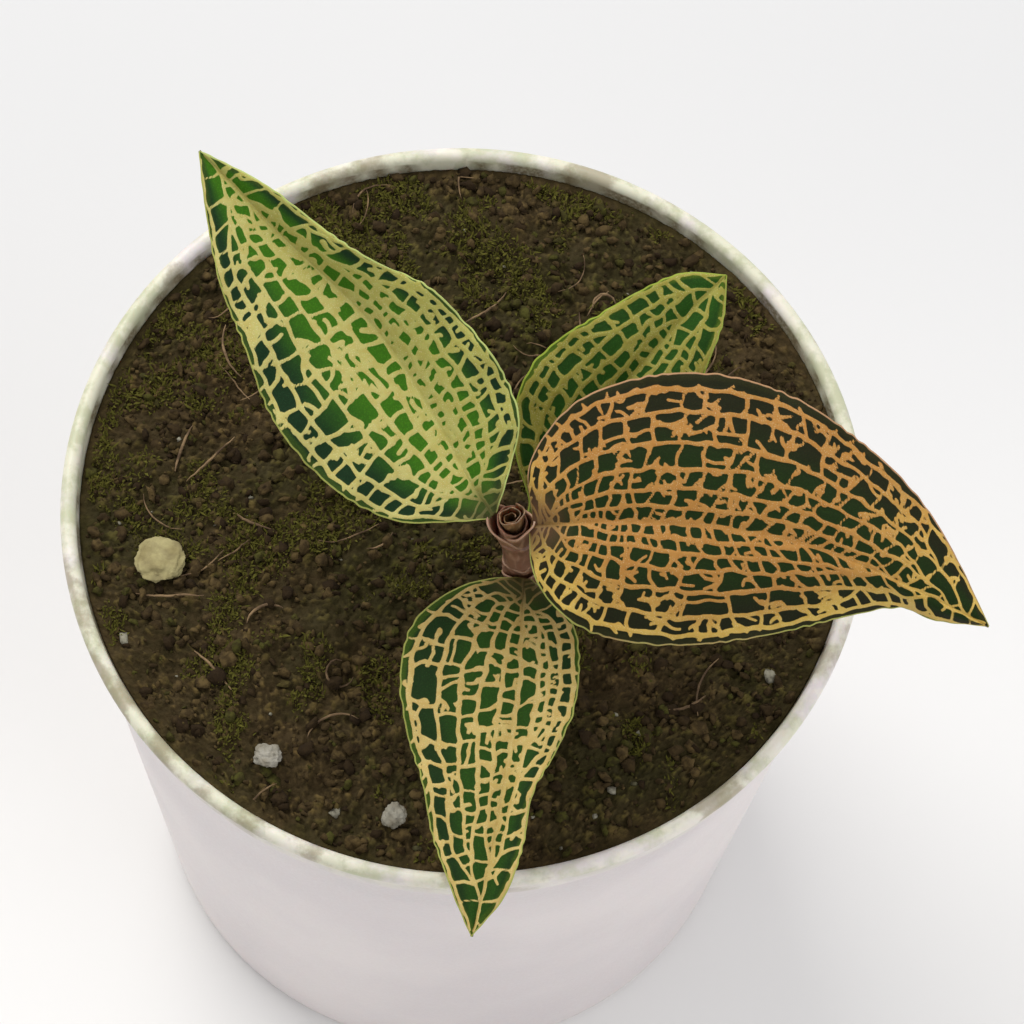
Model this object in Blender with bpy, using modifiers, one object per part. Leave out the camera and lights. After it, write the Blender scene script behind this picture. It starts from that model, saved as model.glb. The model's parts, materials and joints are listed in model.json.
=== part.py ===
"""A young jewel orchid in a round white nursery pot.

Metres, +Z up. The origin is the centre of the pot's underside, and the plant is seen from -Y. Every leaf is
lofted between three guide curves, its left margin, midrib and right margin, written in the leaf's own frame
in millimetres: along the chord from base to tip, across to the left, and up out of the blade.
"""

import math

import bmesh
import bpy
from mathutils import Matrix, Vector, noise

MM = 0.001
CLEARANCE = 0.35 * MM

# The pot
POT_HEIGHT = 88 * MM
RIM_RADIUS = 45 * MM
RIM_WIDTH = 2.0 * MM
RIM_DEPTH = 1.8 * MM
COLLAR_RADIUS = 44.2 * MM
COLLAR_DEPTH = 6.5 * MM
COLLAR_STEP = 0.9 * MM
BASE_RADIUS = 36.5 * MM
FOOT_ROUND = 1.5 * MM
WALL = 1.2 * MM
FLOOR = 1.6 * MM
POT_SIDES = 60
DRAIN_HOLES = 6
DRAIN_RADIUS = 3.0 * MM
DRAIN_CIRCLE = 24 * MM

# The growing mix
MIX_LEVEL = POT_HEIGHT - 2.0 * MM
MIX_MOUND = 1.0 * MM
MIX_RINGS = 18
MIX_RELIEF = 1.3 * MM
MIX_GRAIN = 6.5 * MM

# The stem
STEM_FOOT = Vector((7.4, -9.6, 66)) * MM
STEM_TOP = Vector((5.2, -13.0, 115.6)) * MM
STEM_BOW = 0.3 * MM
STEM_SIDES = 16
STEM_HOLE_RADIUS = 3.0 * MM
CUP_DEPTH = 5 * MM
CUP_RADIUS = 1.05 * MM

# Leaf blades
BLADE = 0.7 * MM
RIB_HEIGHT = 0.4 * MM
CROSS_RIB_HEIGHT = 0.34 * MM
CROSS_RIB_PITCH = 3.4 * MM
# Where the long ribs run, as shares of the way from the midrib to the margin.
RIBS = (0.0, 0.26, 0.52, 0.76, 0.92)

LEAVES = {
    "leaf_left": {
        "base": (2.7, -11.9, 114.2),
        "tip": (-30.6, 19.5, 129.2),
        "facing": (0.01, -0.41, 0.91),
        "left": [(-0.9, 0.6, 0), (1.6, 4.2, 0.6), (5, 8.2, 1.2), (10, 10.7, 1.6), (16, 11.8, 1.8),
                 (22.5, 11.4, 1.8), (29, 9.2, 1.6), (35.5, 7.2, 1.2), (42, 3.9, 0.7), (48.3, 0, 0)],
        "midrib": [(-0.9, 0, 0), (3.5, -0.4, 0), (8, -1.2, -0.2), (13, -2.0, -0.5), (18.5, -2.6, -0.8),
                   (24.5, -2.6, -0.9), (30.5, -1.9, -0.8), (36.5, -1.1, -0.6), (42.5, -0.6, -0.3), (48.3, 0, 0)],
        "right": [(-0.9, -0.6, 0), (1.7, -4.4, 0.8), (5.2, -8.5, 1.8), (10.3, -10.3, 2.8), (16.4, -10.5, 3.6),
                  (22.5, -9.6, 4.0), (28.5, -6.6, 4.0), (35.5, -4.6, 3.2), (42, -2.9, 1.6), (48.3, 0, 0)],
        "dome": 0.7,
        "wave": (0.5, 6.5, 0.8),
    },
    "leaf_right": {
        "base": (7.4, -13.2, 113.9),
        "tip": (56.2, -19.5, 112.2),
        "facing": (-0.02, -0.40, 0.92),
        "left": [(0, 0.8, 0), (-1.5, 6.5, 0.4), (1.5, 13.3, 0.2), (7.5, 17.5, -0.2), (15, 19.7, -0.6),
                 (23, 19.4, -0.8), (31, 16.6, -0.8), (38.5, 12.2, -0.6), (44, 6.8, -0.4), (49.3, 0, 0)],
        "midrib": [(0, 0, 0), (3.5, 0.9, 0.2), (8, 2.2, 0.5), (13, 3.1, 0.9), (19, 4.0, 1.2),
                   (25, 4.3, 1.3), (31, 4.0, 1.2), (37, 3.0, 0.9), (43, 1.6, 0.4), (49.3, 0, 0)],
        "right": [(0, -0.8, 0), (1.2, -4.6, 0.2), (4.2, -7.8, 0), (9.2, -9.7, -0.4), (17, -9.2, -1.1),
                  (26, -6.3, -1.9), (34.6, -2.2, -2.6), (39.8, -0.1, -2.6), (43.6, -0.6, -1.9), (49.3, 0, 0)],
        "dome": 1.3,
        "wave": (0.5, 8.0, 0.2),
    },
    "leaf_front": {
        "base": (7.3, -13.4, 100.0),
        "tip": (4.9, -53.6, 97.5),
        "facing": (0.02, -0.06, 1.0),
        "left": [(0, 0.7, 0), (1.8, 3.2, 0.4), (4.8, 5.9, 1.2), (9.8, 7.2, 2.3), (15.2, 7.2, 3.0),
                 (20, 5.9, 3.2), (24.8, 4.2, 3.0), (30.2, 4.0, 2.4), (35.6, 2.9, 1.4), (40.3, 0, 0)],
        "midrib": [(0, 0, 0), (4.0, 0.3, 0.4), (8.2, 0.7, 0.9), (12.8, 1.1, 1.3), (17.2, 1.2, 1.4),
                   (21.8, 1.2, 1.4), (26.6, 1.1, 1.2), (31.2, 0.9, 0.9), (36, 0.5, 0.5), (40.3, 0, 0)],
        "right": [(0, -0.7, 0), (0.8, -3.8, 0.3), (3.4, -8.2, 1.0), (8.0, -11.3, 1.5), (13.8, -11.6, 1.8),
                  (19.4, -10.1, 1.8), (24.6, -7.7, 1.6), (30.2, -5.7, 1.2), (35.8, -2.8, 0.7), (40.3, 0, 0)],
        "dome": 0.8,
        "wave": (0.35, 5.5, 0.5),
    },
    "leaf_back": {
        "base": (6.2, -10.2, 104.2),
        "tip": (25.9, 16.3, 116.9),
        "facing": (-0.04, -0.44, 0.90),
        "left": [(1.1, 0.8, 0), (3.4, 1.3, 0.2), (6.4, 5.4, 0.8), (10.6, 8.9, 1.4), (15.2, 10.2, 1.7),
                 (19.5, 9.6, 1.7), (23.6, 8.1, 1.5), (28.3, 6.3, 1.1), (32.8, 3.9, 0.6), (35.7, 0, 0)],
        "midrib": [(1.1, 0, 0), (3.8, 0.1, 0), (7.4, 0.5, -0.1), (11.4, 0.8, -0.3), (15.4, 1.0, -0.4),
                   (19.6, 1.1, -0.4), (23.8, 1.0, -0.3), (28, 0.8, -0.2), (32, 0.4, 0), (35.7, 0, 0)],
        "right": [(1.1, -0.8, 0), (3.4, -1.3, 0.2), (6.2, -4.6, 0.7), (9.6, -6.4, 1.1), (13.6, -7.2, 1.4),
                  (17.8, -7.0, 1.5), (22.2, -6.0, 1.4), (27, -4.4, 1.0), (31.6, -2.8, 0.5), (35.7, 0, 0)],
        "dome": 0.6,
        "wave": (0.3, 5.0, 0.0),
    },
}

# Loose pieces on the mix: place in millimetres, size in millimetres, turn in degrees, and shape seed.
LOOSE = {
    "pale_chip": {"place": (-33.0, -10.0), "size": (5.8, 5.2, 1.8), "turn": 25, "seed": 3.0, "rough": 0.16},
    "perlite_1": {"place": (-18.8, -31.6), "size": (2.8, 2.4, 2.0), "turn": 0, "seed": 11.0, "rough": 0.24},
    "perlite_2": {"place": (-4.4, -37.2), "size": (3.0, 2.2, 1.8), "turn": 60, "seed": 17.0, "rough": 0.24},
}

FINISHES = {
    "pot_plastic": ((0.80, 0.79, 0.77), 0.45),
    "mix": ((0.055, 0.040, 0.024), 0.95),
    "stem_flesh": ((0.34, 0.17, 0.13), 0.5),
    "leaf_green": ((0.035, 0.11, 0.02), 0.45),
    "leaf_bronze": ((0.035, 0.05, 0.012), 0.45),
    "leaf_young": ((0.22, 0.14, 0.07), 0.5),
    "chip": ((0.55, 0.50, 0.31), 0.8),
    "perlite": ((0.82, 0.81, 0.77), 0.85),
}


def clear_scene():
    for thing in list(bpy.data.objects):
        bpy.data.objects.remove(thing, do_unlink=True)


def new_collection(name):
    made = bpy.data.collections.new(name)
    bpy.context.scene.collection.children.link(made)
    return made


def finish(name):
    """A Principled BSDF with the finish's colour and roughness, made once."""
    if name in bpy.data.materials:
        return bpy.data.materials[name]
    colour, roughness = FINISHES[name]
    material = bpy.data.materials.new(name)
    material.use_nodes = True
    shader = material.node_tree.nodes["Principled BSDF"]
    shader.inputs["Base Color"].default_value = (*colour, 1.0)
    shader.inputs["Roughness"].default_value = roughness
    shader.inputs["Metallic"].default_value = 0.0
    material.diffuse_color = (*colour, 1.0)
    return material


def add_object(name, mesh, collection, finish_name=None):
    thing = bpy.data.objects.new(name, mesh)
    collection.objects.link(thing)
    if finish_name:
        mesh.materials.append(finish(finish_name))
    return thing


def applied(thing):
    """Replaces the object's mesh with its evaluated one and drops its modifiers."""
    bpy.context.view_layer.update()
    graph = bpy.context.evaluated_depsgraph_get()
    mesh = bpy.data.meshes.new_from_object(thing.evaluated_get(graph))
    thing.modifiers.clear()
    thing.data = mesh
    return thing


def turned(name, profile, sides, collection, finish_name):
    """A solid turned about Z from (radius, height) points that run down the outside, top to bottom."""
    mesh = bpy.data.meshes.new(name)
    points = [(radius, 0, height) for radius, height in profile]
    mesh.from_pydata(points, [(i, i + 1) for i in range(len(points) - 1)], [])
    thing = add_object(name, mesh, collection, finish_name)
    screw = thing.modifiers.new("turn", "SCREW")
    screw.axis = "Z"
    screw.steps = sides
    screw.render_steps = sides
    screw.use_merge_vertices = True
    screw.merge_threshold = 0.00001
    screw.use_smooth_shade = True
    return thing


def cut(thing, cutters):
    """Takes every object of a collection out of the solid."""
    boolean = thing.modifiers.new("cut", "BOOLEAN")
    boolean.operation = "DIFFERENCE"
    boolean.operand_type = "COLLECTION"
    boolean.collection = cutters
    boolean.solver = "EXACT"


def hide_cutter(thing):
    thing.hide_render = True
    thing.display_type = "WIRE"


def add_cylinder(name, radius, low, high, place, collection, sides=16):
    mesh = bpy.data.meshes.new(name)
    body = bmesh.new()
    bmesh.ops.create_cone(
        body, cap_ends=True, segments=sides, radius1=radius, radius2=radius, depth=high - low
    )
    body.to_mesh(mesh)
    body.free()
    thing = add_object(name, mesh, collection)
    thing.location = (place[0], place[1], (low + high) / 2)
    return thing


def inner_radius(height):
    """The pot's inside radius at a height above its underside: it opens more within the collar."""
    foot = BASE_RADIUS - WALL
    shoulder = COLLAR_RADIUS - COLLAR_STEP - WALL
    mouth = RIM_RADIUS - RIM_WIDTH
    shoulder_height = POT_HEIGHT - COLLAR_DEPTH
    if height < shoulder_height:
        return foot + (shoulder - foot) * height / shoulder_height
    mouth_height = POT_HEIGHT - RIM_DEPTH / 3
    return shoulder + (mouth - shoulder) * (height - shoulder_height) / (mouth_height - shoulder_height)


def make_pot(collection, cutters):
    wall_top = COLLAR_RADIUS - COLLAR_STEP
    lip = RIM_DEPTH / 3
    profile = [
        (RIM_RADIUS - RIM_WIDTH, POT_HEIGHT - lip),
        (RIM_RADIUS - RIM_WIDTH + lip, POT_HEIGHT),
        (RIM_RADIUS - lip, POT_HEIGHT),
        (RIM_RADIUS, POT_HEIGHT - lip),
        (RIM_RADIUS, POT_HEIGHT - 2 * lip),
        (COLLAR_RADIUS, POT_HEIGHT - RIM_DEPTH),
        (COLLAR_RADIUS - 0.1 * MM, POT_HEIGHT - COLLAR_DEPTH + COLLAR_STEP),
        (wall_top, POT_HEIGHT - COLLAR_DEPTH),
        (BASE_RADIUS, FOOT_ROUND),
        (BASE_RADIUS - FOOT_ROUND / 3, FOOT_ROUND / 3),
        (BASE_RADIUS - FOOT_ROUND, 0),
        (0, 0),
        (0, FLOOR),
        (inner_radius(FLOOR) - FLOOR / 2, FLOOR),
        (inner_radius(FLOOR), 1.5 * FLOOR),
        (wall_top - WALL, POT_HEIGHT - COLLAR_DEPTH),
        (RIM_RADIUS - RIM_WIDTH, POT_HEIGHT - lip),
    ]
    pot = turned("pot", profile, POT_SIDES, collection, "pot_plastic")
    for i in range(DRAIN_HOLES):
        angle = 2 * math.pi * (i + 0.5) / DRAIN_HOLES
        place = (DRAIN_CIRCLE * math.cos(angle), DRAIN_CIRCLE * math.sin(angle))
        hide_cutter(add_cylinder(f"drain_{i}", DRAIN_RADIUS, -3 * MM, 5 * MM, place, cutters))
    cut(pot, cutters)
    pot.data.set_sharp_from_angle(angle=math.radians(35))
    return pot


def mix_height(x, y):
    """The top of the growing mix: a low mound with crumbs of a few millimetres."""
    away = math.hypot(x, y) / inner_radius(MIX_LEVEL)
    at = Vector((x, y, 0))
    crumbs = noise.noise(at / MIX_GRAIN) + 0.5 * noise.noise(at / MIX_GRAIN * 2.1 + Vector((7, 3, 1)))
    swell = noise.noise(at / (6 * MIX_GRAIN) + Vector((2, 9, 4)))
    fade = 1 - away**6
    return MIX_LEVEL + MIX_MOUND * (1 - away**2) + (crumbs * MIX_RELIEF + swell * MIX_MOUND) * fade


def make_mix(collection, cutters):
    """The mix is turned, and then its top is raised into crumbs by mix_height."""
    low = FLOOR + CLEARANCE
    foot_corner = low + 2 * FLOOR
    edge = inner_radius(MIX_LEVEL) - CLEARANCE
    tops = [(edge * i / MIX_RINGS, MIX_LEVEL) for i in range(MIX_RINGS + 1)]
    profile = tops + [
        (inner_radius(POT_HEIGHT - COLLAR_DEPTH) - CLEARANCE, POT_HEIGHT - COLLAR_DEPTH),
        (inner_radius(POT_HEIGHT / 2) - CLEARANCE, POT_HEIGHT / 2),
        (inner_radius(foot_corner) - CLEARANCE, foot_corner),
        (inner_radius(low) - FLOOR - CLEARANCE, low),
        (0, low),
    ]
    mix = applied(turned("substrate", profile, POT_SIDES, collection, "mix"))
    for vertex in mix.data.vertices:
        if vertex.co.z > MIX_LEVEL - 0.1 * MM:
            vertex.co.z = mix_height(vertex.co.x, vertex.co.y)
    foot = stem_axis(0.0)
    hide_cutter(
        add_cylinder("stem_hole", STEM_HOLE_RADIUS, foot.z - CLEARANCE, POT_HEIGHT + 10 * MM, foot, cutters)
    )
    cut(mix, cutters)
    return mix


def stem_axis(share):
    """The stem's centre line from its buried foot, 0, to the crown, 1."""
    at = STEM_FOOT.lerp(STEM_TOP, share * share)
    at.z = STEM_FOOT.z + (STEM_TOP.z - STEM_FOOT.z) * share
    at.x += STEM_BOW * math.sin(math.pi * share)
    return at


def stem_radius(share):
    """Thick at the soil, slimmer at the crown, with a swelling at each joint of the stem."""
    joints = sum(math.exp(-(((share - at) / 0.018) ** 2)) for at in (0.30, 0.47, 0.66, 0.84))
    ends = 1 - 0.35 * math.exp(-share / 0.05)
    return (2.15 - 0.55 * share + 0.22 * joints) * ends * MM


def bend_to_stem(thing):
    """Moves a solid that was turned upright about Z on to the stem's axis."""
    length = STEM_TOP.z - STEM_FOOT.z
    for vertex in thing.data.vertices:
        centre = stem_axis(max(0.0, min(1.0, vertex.co.z / length)))
        vertex.co = Vector((centre.x + vertex.co.x, centre.y + vertex.co.y, STEM_FOOT.z + vertex.co.z))


def make_stem(collection):
    """The stem is turned straight, with the open cup of its newest sheath on top, and then bent to its axis."""
    length = STEM_TOP.z - STEM_FOOT.z
    rings = 26
    outside = [(stem_radius(i / rings), length * i / rings) for i in range(rings + 1)]
    cup_floor = length - CUP_DEPTH
    inside = [(0, cup_floor), (CUP_RADIUS * 0.8, cup_floor + 0.4 * MM), (CUP_RADIUS, length - 1.5 * MM)]
    lip = [(CUP_RADIUS + 0.15 * MM, length + 0.2 * MM)]
    profile = inside + lip + outside[::-1] + [(0, 0)]
    stem = applied(turned("stem", profile, STEM_SIDES, collection, "stem_flesh"))
    bend_to_stem(stem)
    return stem


def make_rolled_leaf(collection):
    """The youngest leaf, rolled into a slender tube that stands in the stem's cup and opens at its tip."""
    length = STEM_TOP.z - STEM_FOOT.z
    foot = length - CUP_DEPTH + CLEARANCE
    top = length + 1.0 * MM
    profile = [
        (0, foot + 1.2 * MM),
        (0.15 * MM, foot + 1.6 * MM),
        (0.32 * MM, top - 0.2 * MM),
        (0.5 * MM, top),
        (0.66 * MM, top - 0.4 * MM),
        (0.5 * MM, foot + 1.2 * MM),
        (0.25 * MM, foot),
        (0, foot),
    ]
    roll = applied(turned("rolled_leaf", profile, STEM_SIDES, collection, "leaf_young"))
    for vertex in roll.data.vertices:
        if vertex.co.z > top - MM:
            vertex.co.z += 0.3 * MM * math.atan2(vertex.co.y, vertex.co.x) / math.pi
    bend_to_stem(roll)
    return roll


def along_curve(points, t):
    """A point on a smooth curve through evenly counted points, t from 0 to 1."""
    last = len(points) - 1
    at = min(max(t, 0.0), 1.0) * last
    i = min(int(at), last - 1)
    u = at - i
    p1, p2 = Vector(points[i]), Vector(points[i + 1])
    p0 = Vector(points[i - 1]) if i > 0 else 2 * p1 - p2
    p3 = Vector(points[i + 2]) if i < last - 1 else 2 * p2 - p1
    return 0.5 * (
        2 * p1 + (p2 - p0) * u + (2 * p0 - 5 * p1 + 4 * p2 - p3) * u**2 + (3 * p1 - p0 - 3 * p2 + p3) * u**3
    )


def leaf_frame(leaf):
    """The matrix from a leaf's own frame in millimetres to the pot's frame in metres."""
    base, tip, facing = Vector(leaf["base"]), Vector(leaf["tip"]), Vector(leaf["facing"])
    along = (tip - base).normalized()
    across = facing.cross(along).normalized()
    up = along.cross(across)
    turn = Matrix((along, across, up)).transposed().to_4x4()
    return Matrix.Scale(MM, 4) @ Matrix.Translation(base) @ turn


def blade_point(leaf, t, w):
    """A point of the smooth blade in the leaf's frame: t from base to tip, w from -1 at right to 1 at left."""
    middle = along_curve(leaf["midrib"], t)
    margin = along_curve(leaf["left"] if w > 0 else leaf["right"], t)
    share = abs(w)
    point = middle.lerp(margin, share)
    height, count, phase = leaf["wave"]
    body = math.sin(math.pi * t) ** 0.5 if 0 < t < 1 else 0
    point.z += leaf["dome"] * math.sin(math.pi * share**0.8) * body
    point.z += height * share**3 * body * math.sin(2 * math.pi * (count * t + phase) + (1.3 if w > 0 else 0))
    return point


def rib_columns():
    """Where the blade is divided across: on every long rib, between each two, and on the margin."""
    side = []
    for inner, outer in zip(RIBS, RIBS[1:]):
        side += [(inner, True), ((inner + outer) / 2, False)]
    side += [(RIBS[-1], True), (1.0, False)]
    return [(-share, rib) for share, rib in side[:0:-1]] + side


def make_leaf(name, leaf, collection, finish_name):
    """A grid laid over the blade, with its long ribs and the cross ribs between them raised as a net."""
    columns = rib_columns()
    length = (Vector(leaf["tip"]) - Vector(leaf["base"])).length * MM
    rows = 2 * round(length / CROSS_RIB_PITCH) + 1
    to_world = leaf_frame(leaf)
    grid = bmesh.new()
    bmesh.ops.create_grid(grid, x_segments=len(columns) - 1, y_segments=rows, size=1.0)
    for vertex in grid.verts:
        column = round((vertex.co.x + 1) / 2 * (len(columns) - 1))
        row = round((vertex.co.y + 1) / 2 * rows)
        w, on_rib = columns[column]
        strip = column // 2
        t = row / rows
        net = 0.0
        if on_rib:
            net = RIB_HEIGHT
        elif abs(w) < 1 and (row + strip) % 2:
            net = CROSS_RIB_HEIGHT
        point = blade_point(leaf, t, -w)
        point.z += net / MM * math.sin(math.pi * t) ** 0.4 if 0 < row < rows else 0
        vertex.co = to_world @ point
    bmesh.ops.remove_doubles(grid, verts=grid.verts, dist=0.05 * MM)
    bmesh.ops.triangulate(grid, faces=grid.faces, quad_method="FIXED")
    mesh = bpy.data.meshes.new(name)
    grid.to_mesh(mesh)
    grid.free()
    mesh.shade_smooth()
    leaf_object = add_object(name, mesh, collection, finish_name)
    solidify = leaf_object.modifiers.new("blade", "SOLIDIFY")
    solidify.thickness = BLADE
    solidify.offset = -1
    solidify.use_even_offset = False
    return leaf_object


def make_loose(name, spec, collection, finish_name):
    """A small rough stone from a sphere, pressed flat and roughened, set just clear of the mix."""
    stone = bmesh.new()
    bmesh.ops.create_icosphere(stone, subdivisions=2, radius=1.0)
    half = Vector(spec["size"]) / 2 * MM
    turn = Matrix.Rotation(math.radians(spec["turn"]), 3, "Z")
    x, y = (value * MM for value in spec["place"])
    for vertex in stone.verts:
        swell = 1 + spec["rough"] * noise.noise(vertex.co * 1.7 + Vector((spec["seed"], 0, 0)))
        shaped = Vector(value * size for value, size in zip(vertex.co * swell, half))
        vertex.co = turn @ shaped
    reach = max(math.hypot(vertex.co.x, vertex.co.y) for vertex in stone.verts)
    under = max(
        mix_height(x + reach * step / 4 * math.cos(angle), y + reach * step / 4 * math.sin(angle))
        for step in range(5)
        for angle in (0.5 * quarter for quarter in range(13))
    )
    lowest = min(vertex.co.z for vertex in stone.verts)
    for vertex in stone.verts:
        vertex.co += Vector((x, y, under - lowest + CLEARANCE / 2))
    mesh = bpy.data.meshes.new(name)
    stone.to_mesh(mesh)
    stone.free()
    mesh.shade_smooth()
    return add_object(name, mesh, collection, finish_name)


def main():
    clear_scene()
    orchid = new_collection("jewel_orchid")
    make_pot(orchid, new_collection("drain_cutters"))
    make_mix(orchid, new_collection("stem_cutters"))
    make_stem(orchid)
    make_rolled_leaf(orchid)
    for name, leaf in LEAVES.items():
        make_leaf(name, leaf, orchid, "leaf_bronze" if name == "leaf_right" else "leaf_green")
    for name, spec in LOOSE.items():
        make_loose(name, spec, orchid, "chip" if name == "pale_chip" else "perlite")


main()
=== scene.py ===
# %% [markdown]
# # A jewel orchid in its nursery pot
# The real plant is small: four leaves on a short fleshy stem, in a white plastic pot 9 cm across. What
# people grow it for is the net of pale veins on dark, velvety leaves. This lesson starts from the packed
# solids of the pot and the plant, and replaces each with a finer mesh that keeps its form. All work is in
# metres, with +Z up and the origin under the middle of the pot.

import json
import math

import bmesh
import bpy
import numpy as np
from mathutils import Matrix, Vector, noise

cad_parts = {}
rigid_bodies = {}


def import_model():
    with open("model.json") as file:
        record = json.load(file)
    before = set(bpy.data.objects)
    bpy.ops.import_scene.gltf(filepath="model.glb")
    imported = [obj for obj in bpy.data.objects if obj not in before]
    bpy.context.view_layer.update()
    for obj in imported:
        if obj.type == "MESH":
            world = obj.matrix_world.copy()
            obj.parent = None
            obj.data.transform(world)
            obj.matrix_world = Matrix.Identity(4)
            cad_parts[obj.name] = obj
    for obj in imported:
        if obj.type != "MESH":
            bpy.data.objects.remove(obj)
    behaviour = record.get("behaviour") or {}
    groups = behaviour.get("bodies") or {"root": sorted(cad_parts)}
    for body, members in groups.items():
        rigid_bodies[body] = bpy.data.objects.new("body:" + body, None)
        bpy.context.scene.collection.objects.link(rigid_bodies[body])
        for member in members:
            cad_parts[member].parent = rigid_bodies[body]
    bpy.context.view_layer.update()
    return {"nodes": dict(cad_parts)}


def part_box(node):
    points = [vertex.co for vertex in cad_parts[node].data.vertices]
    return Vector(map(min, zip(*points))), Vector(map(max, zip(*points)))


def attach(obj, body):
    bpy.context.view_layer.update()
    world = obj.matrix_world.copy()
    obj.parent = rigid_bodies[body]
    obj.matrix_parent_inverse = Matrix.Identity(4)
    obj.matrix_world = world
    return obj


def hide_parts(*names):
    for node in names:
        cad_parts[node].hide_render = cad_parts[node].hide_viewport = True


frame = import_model()
MM = 0.001
noise.seed_set(7)  # without a seed, Blender's vector noise differs on each run
print("packed nodes:", sorted(frame["nodes"]))

# %% [markdown]
# ## One mesh helper for nearly everything
# Leaves, stems, pots and soil are all sheets that have been bent, so most meshes here are a flat grid
# whose points are moved by a formula. A grid keeps its rows and columns, which makes it easy to paint
# numbers on its points for the materials to read. Modelling by hand would give no such numbers.

# %% A grid that is reshaped by a formula


def mesh_from(name, body):
    """A mesh made of a finished bmesh."""
    mesh = bpy.data.meshes.new(name)
    body.to_mesh(mesh)
    body.free()
    return mesh


def paint_points(mesh, numbers):
    """Writes named numbers on the mesh's points, for the materials to read."""
    for key, values in numbers.items():
        layer = mesh.attributes.new(key, "FLOAT", "POINT")
        layer.data.foreach_set("value", np.asarray(values, np.float32))


def grid_mesh(name, columns, rows, place):
    """A grid mesh: place(across, along), both from 0 to 1, gives its points and what is painted there."""
    sheet = bmesh.new()
    bmesh.ops.create_grid(sheet, x_segments=columns, y_segments=rows, size=1.0)
    mesh = mesh_from(name, sheet)
    flat = np.empty(len(mesh.vertices) * 3)
    mesh.vertices.foreach_get("co", flat)
    across, along = (flat.reshape(-1, 3)[:, :2] / 2 + 0.5).T
    points, numbers = place(across, along)
    mesh.vertices.foreach_set("co", points.astype(np.float32).ravel())
    paint_points(mesh, numbers)
    mesh.shade_smooth()
    mesh.update()
    return mesh


def weld(mesh, distance=0.002 * MM):
    """Joins the grid's seam, and each row that has shrunk to a point."""
    body = bmesh.new()
    body.from_mesh(mesh)
    bmesh.ops.remove_doubles(body, verts=body.verts, dist=distance)
    bmesh.ops.recalc_face_normals(body, faces=body.faces)
    body.to_mesh(mesh)
    body.free()
    return mesh


def turned(radius, angle, height):
    """Points around the Z axis."""
    return np.stack([radius * np.cos(angle), radius * np.sin(angle), height], axis=1)


def thicken(thing, thickness, offset):
    """Gives a sheet its thickness: on the inner side at -1, on both at 0, on the outer one at 1."""
    solid = thing.modifiers.new("thickness", "SOLIDIFY")
    solid.thickness = thickness
    solid.offset = offset
    return solid


def applied(thing):
    """Makes the object's modifiers part of its mesh."""
    bpy.context.view_layer.update()
    graph = bpy.context.evaluated_depsgraph_get()
    made = bpy.data.meshes.new_from_object(thing.evaluated_get(graph))
    thing.modifiers.clear()
    thing.data = made


def add_piece(name, mesh, materials, nodes=()):
    """Puts a mesh in the scene as a piece of the plant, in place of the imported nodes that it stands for."""
    thing = bpy.data.objects.new(name, mesh)
    bpy.context.scene.collection.objects.link(thing)
    for material in materials:
        mesh.materials.append(material)
    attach(thing, "root")
    if nodes:
        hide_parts(*nodes)
    return thing


# %% [markdown]
# ## Shader shorthand
# A material is a small network of nodes. These helpers add a node and plug its inputs in one line, so
# that each material below reads as a recipe. Colours are given as 0 to 255, the way a paint program shows
# them, and turned into the linear values that shaders use.

# %% Nodes, colours and ramps


def rgb(red, green, blue):
    """A linear colour from the 0 to 255 values of a paint program."""
    parts = [value / 255 for value in (red, green, blue)]
    return (*[p / 12.92 if p <= 0.04045 else ((p + 0.055) / 1.055) ** 2.4 for p in parts], 1.0)


def add(tree, kind, inputs=None, **settings):
    """Adds a node, sets its properties, and fills or links its inputs."""
    made = tree.nodes.new("ShaderNode" + kind)
    for key, value in settings.items():
        setattr(made, key, value)
    for key, value in (inputs or {}).items():
        if isinstance(value, bpy.types.NodeSocket):
            tree.links.new(value, made.inputs[key])
        else:
            made.inputs[key].default_value = value
    return made


def mix(tree, factor, a, b, blend="MIX"):
    """Two colours mixed by a factor."""
    made = add(tree, "Mix", {0: factor, 6: a, 7: b}, data_type="RGBA", blend_type=blend)
    return made.outputs[2]


def maths(tree, operation, a, b=0.0, c=0.0):
    return add(tree, "Math", {0: a, 1: b, 2: c}, operation=operation).outputs[0]


def times(tree, a, b):
    return maths(tree, "MULTIPLY", a, b)


def remap(tree, value, low, high, to_low=0.0, to_high=1.0):
    """A value eased from one range into another."""
    inputs = {"Value": value, "From Min": low, "From Max": high, "To Min": to_low, "To Max": to_high}
    return add(tree, "MapRange", inputs, interpolation_type="SMOOTHSTEP").outputs[0]


def object_place(tree):
    return add(tree, "TexCoord").outputs["Object"]


def grain(tree, scale, detail=3.0, roughness=0.55):
    """Soft noise over the object, with a scale in lumps per metre."""
    inputs = {"Vector": object_place(tree), "Scale": scale, "Detail": detail, "Roughness": roughness}
    return add(tree, "TexNoise", inputs).outputs[0]


def painted(tree, name):
    """A number that was painted on the mesh's points."""
    return add(tree, "Attribute", attribute_name=name).outputs["Fac"]


def new_material(name):
    material = bpy.data.materials.new(name)
    material.use_nodes = True
    return material, material.node_tree, material.node_tree.nodes["Principled BSDF"]


def plug(tree, shader, **inputs):
    """Fills the shader's sockets, named with underscores for spaces."""
    for key, value in inputs.items():
        socket = shader.inputs[key.replace("_", " ")]
        if isinstance(value, bpy.types.NodeSocket):
            tree.links.new(value, socket)
        else:
            socket.default_value = value


def bump(tree, height, distance, strength=1.0):
    return add(tree, "Bump", {"Height": height, "Distance": distance, "Strength": strength}).outputs[0]


# %% [markdown]
# ## Two effects that several materials share
# The veins of all four leaves are drawn the same way: a number painted on the mesh says how far inside a
# vein each point is, and the shader turns it into a crisp mask with a slightly rough edge. Damp dirt and
# algae also come back on more than one surface. Each is a node group with named inputs and outputs.

# %% The shared node groups


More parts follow.
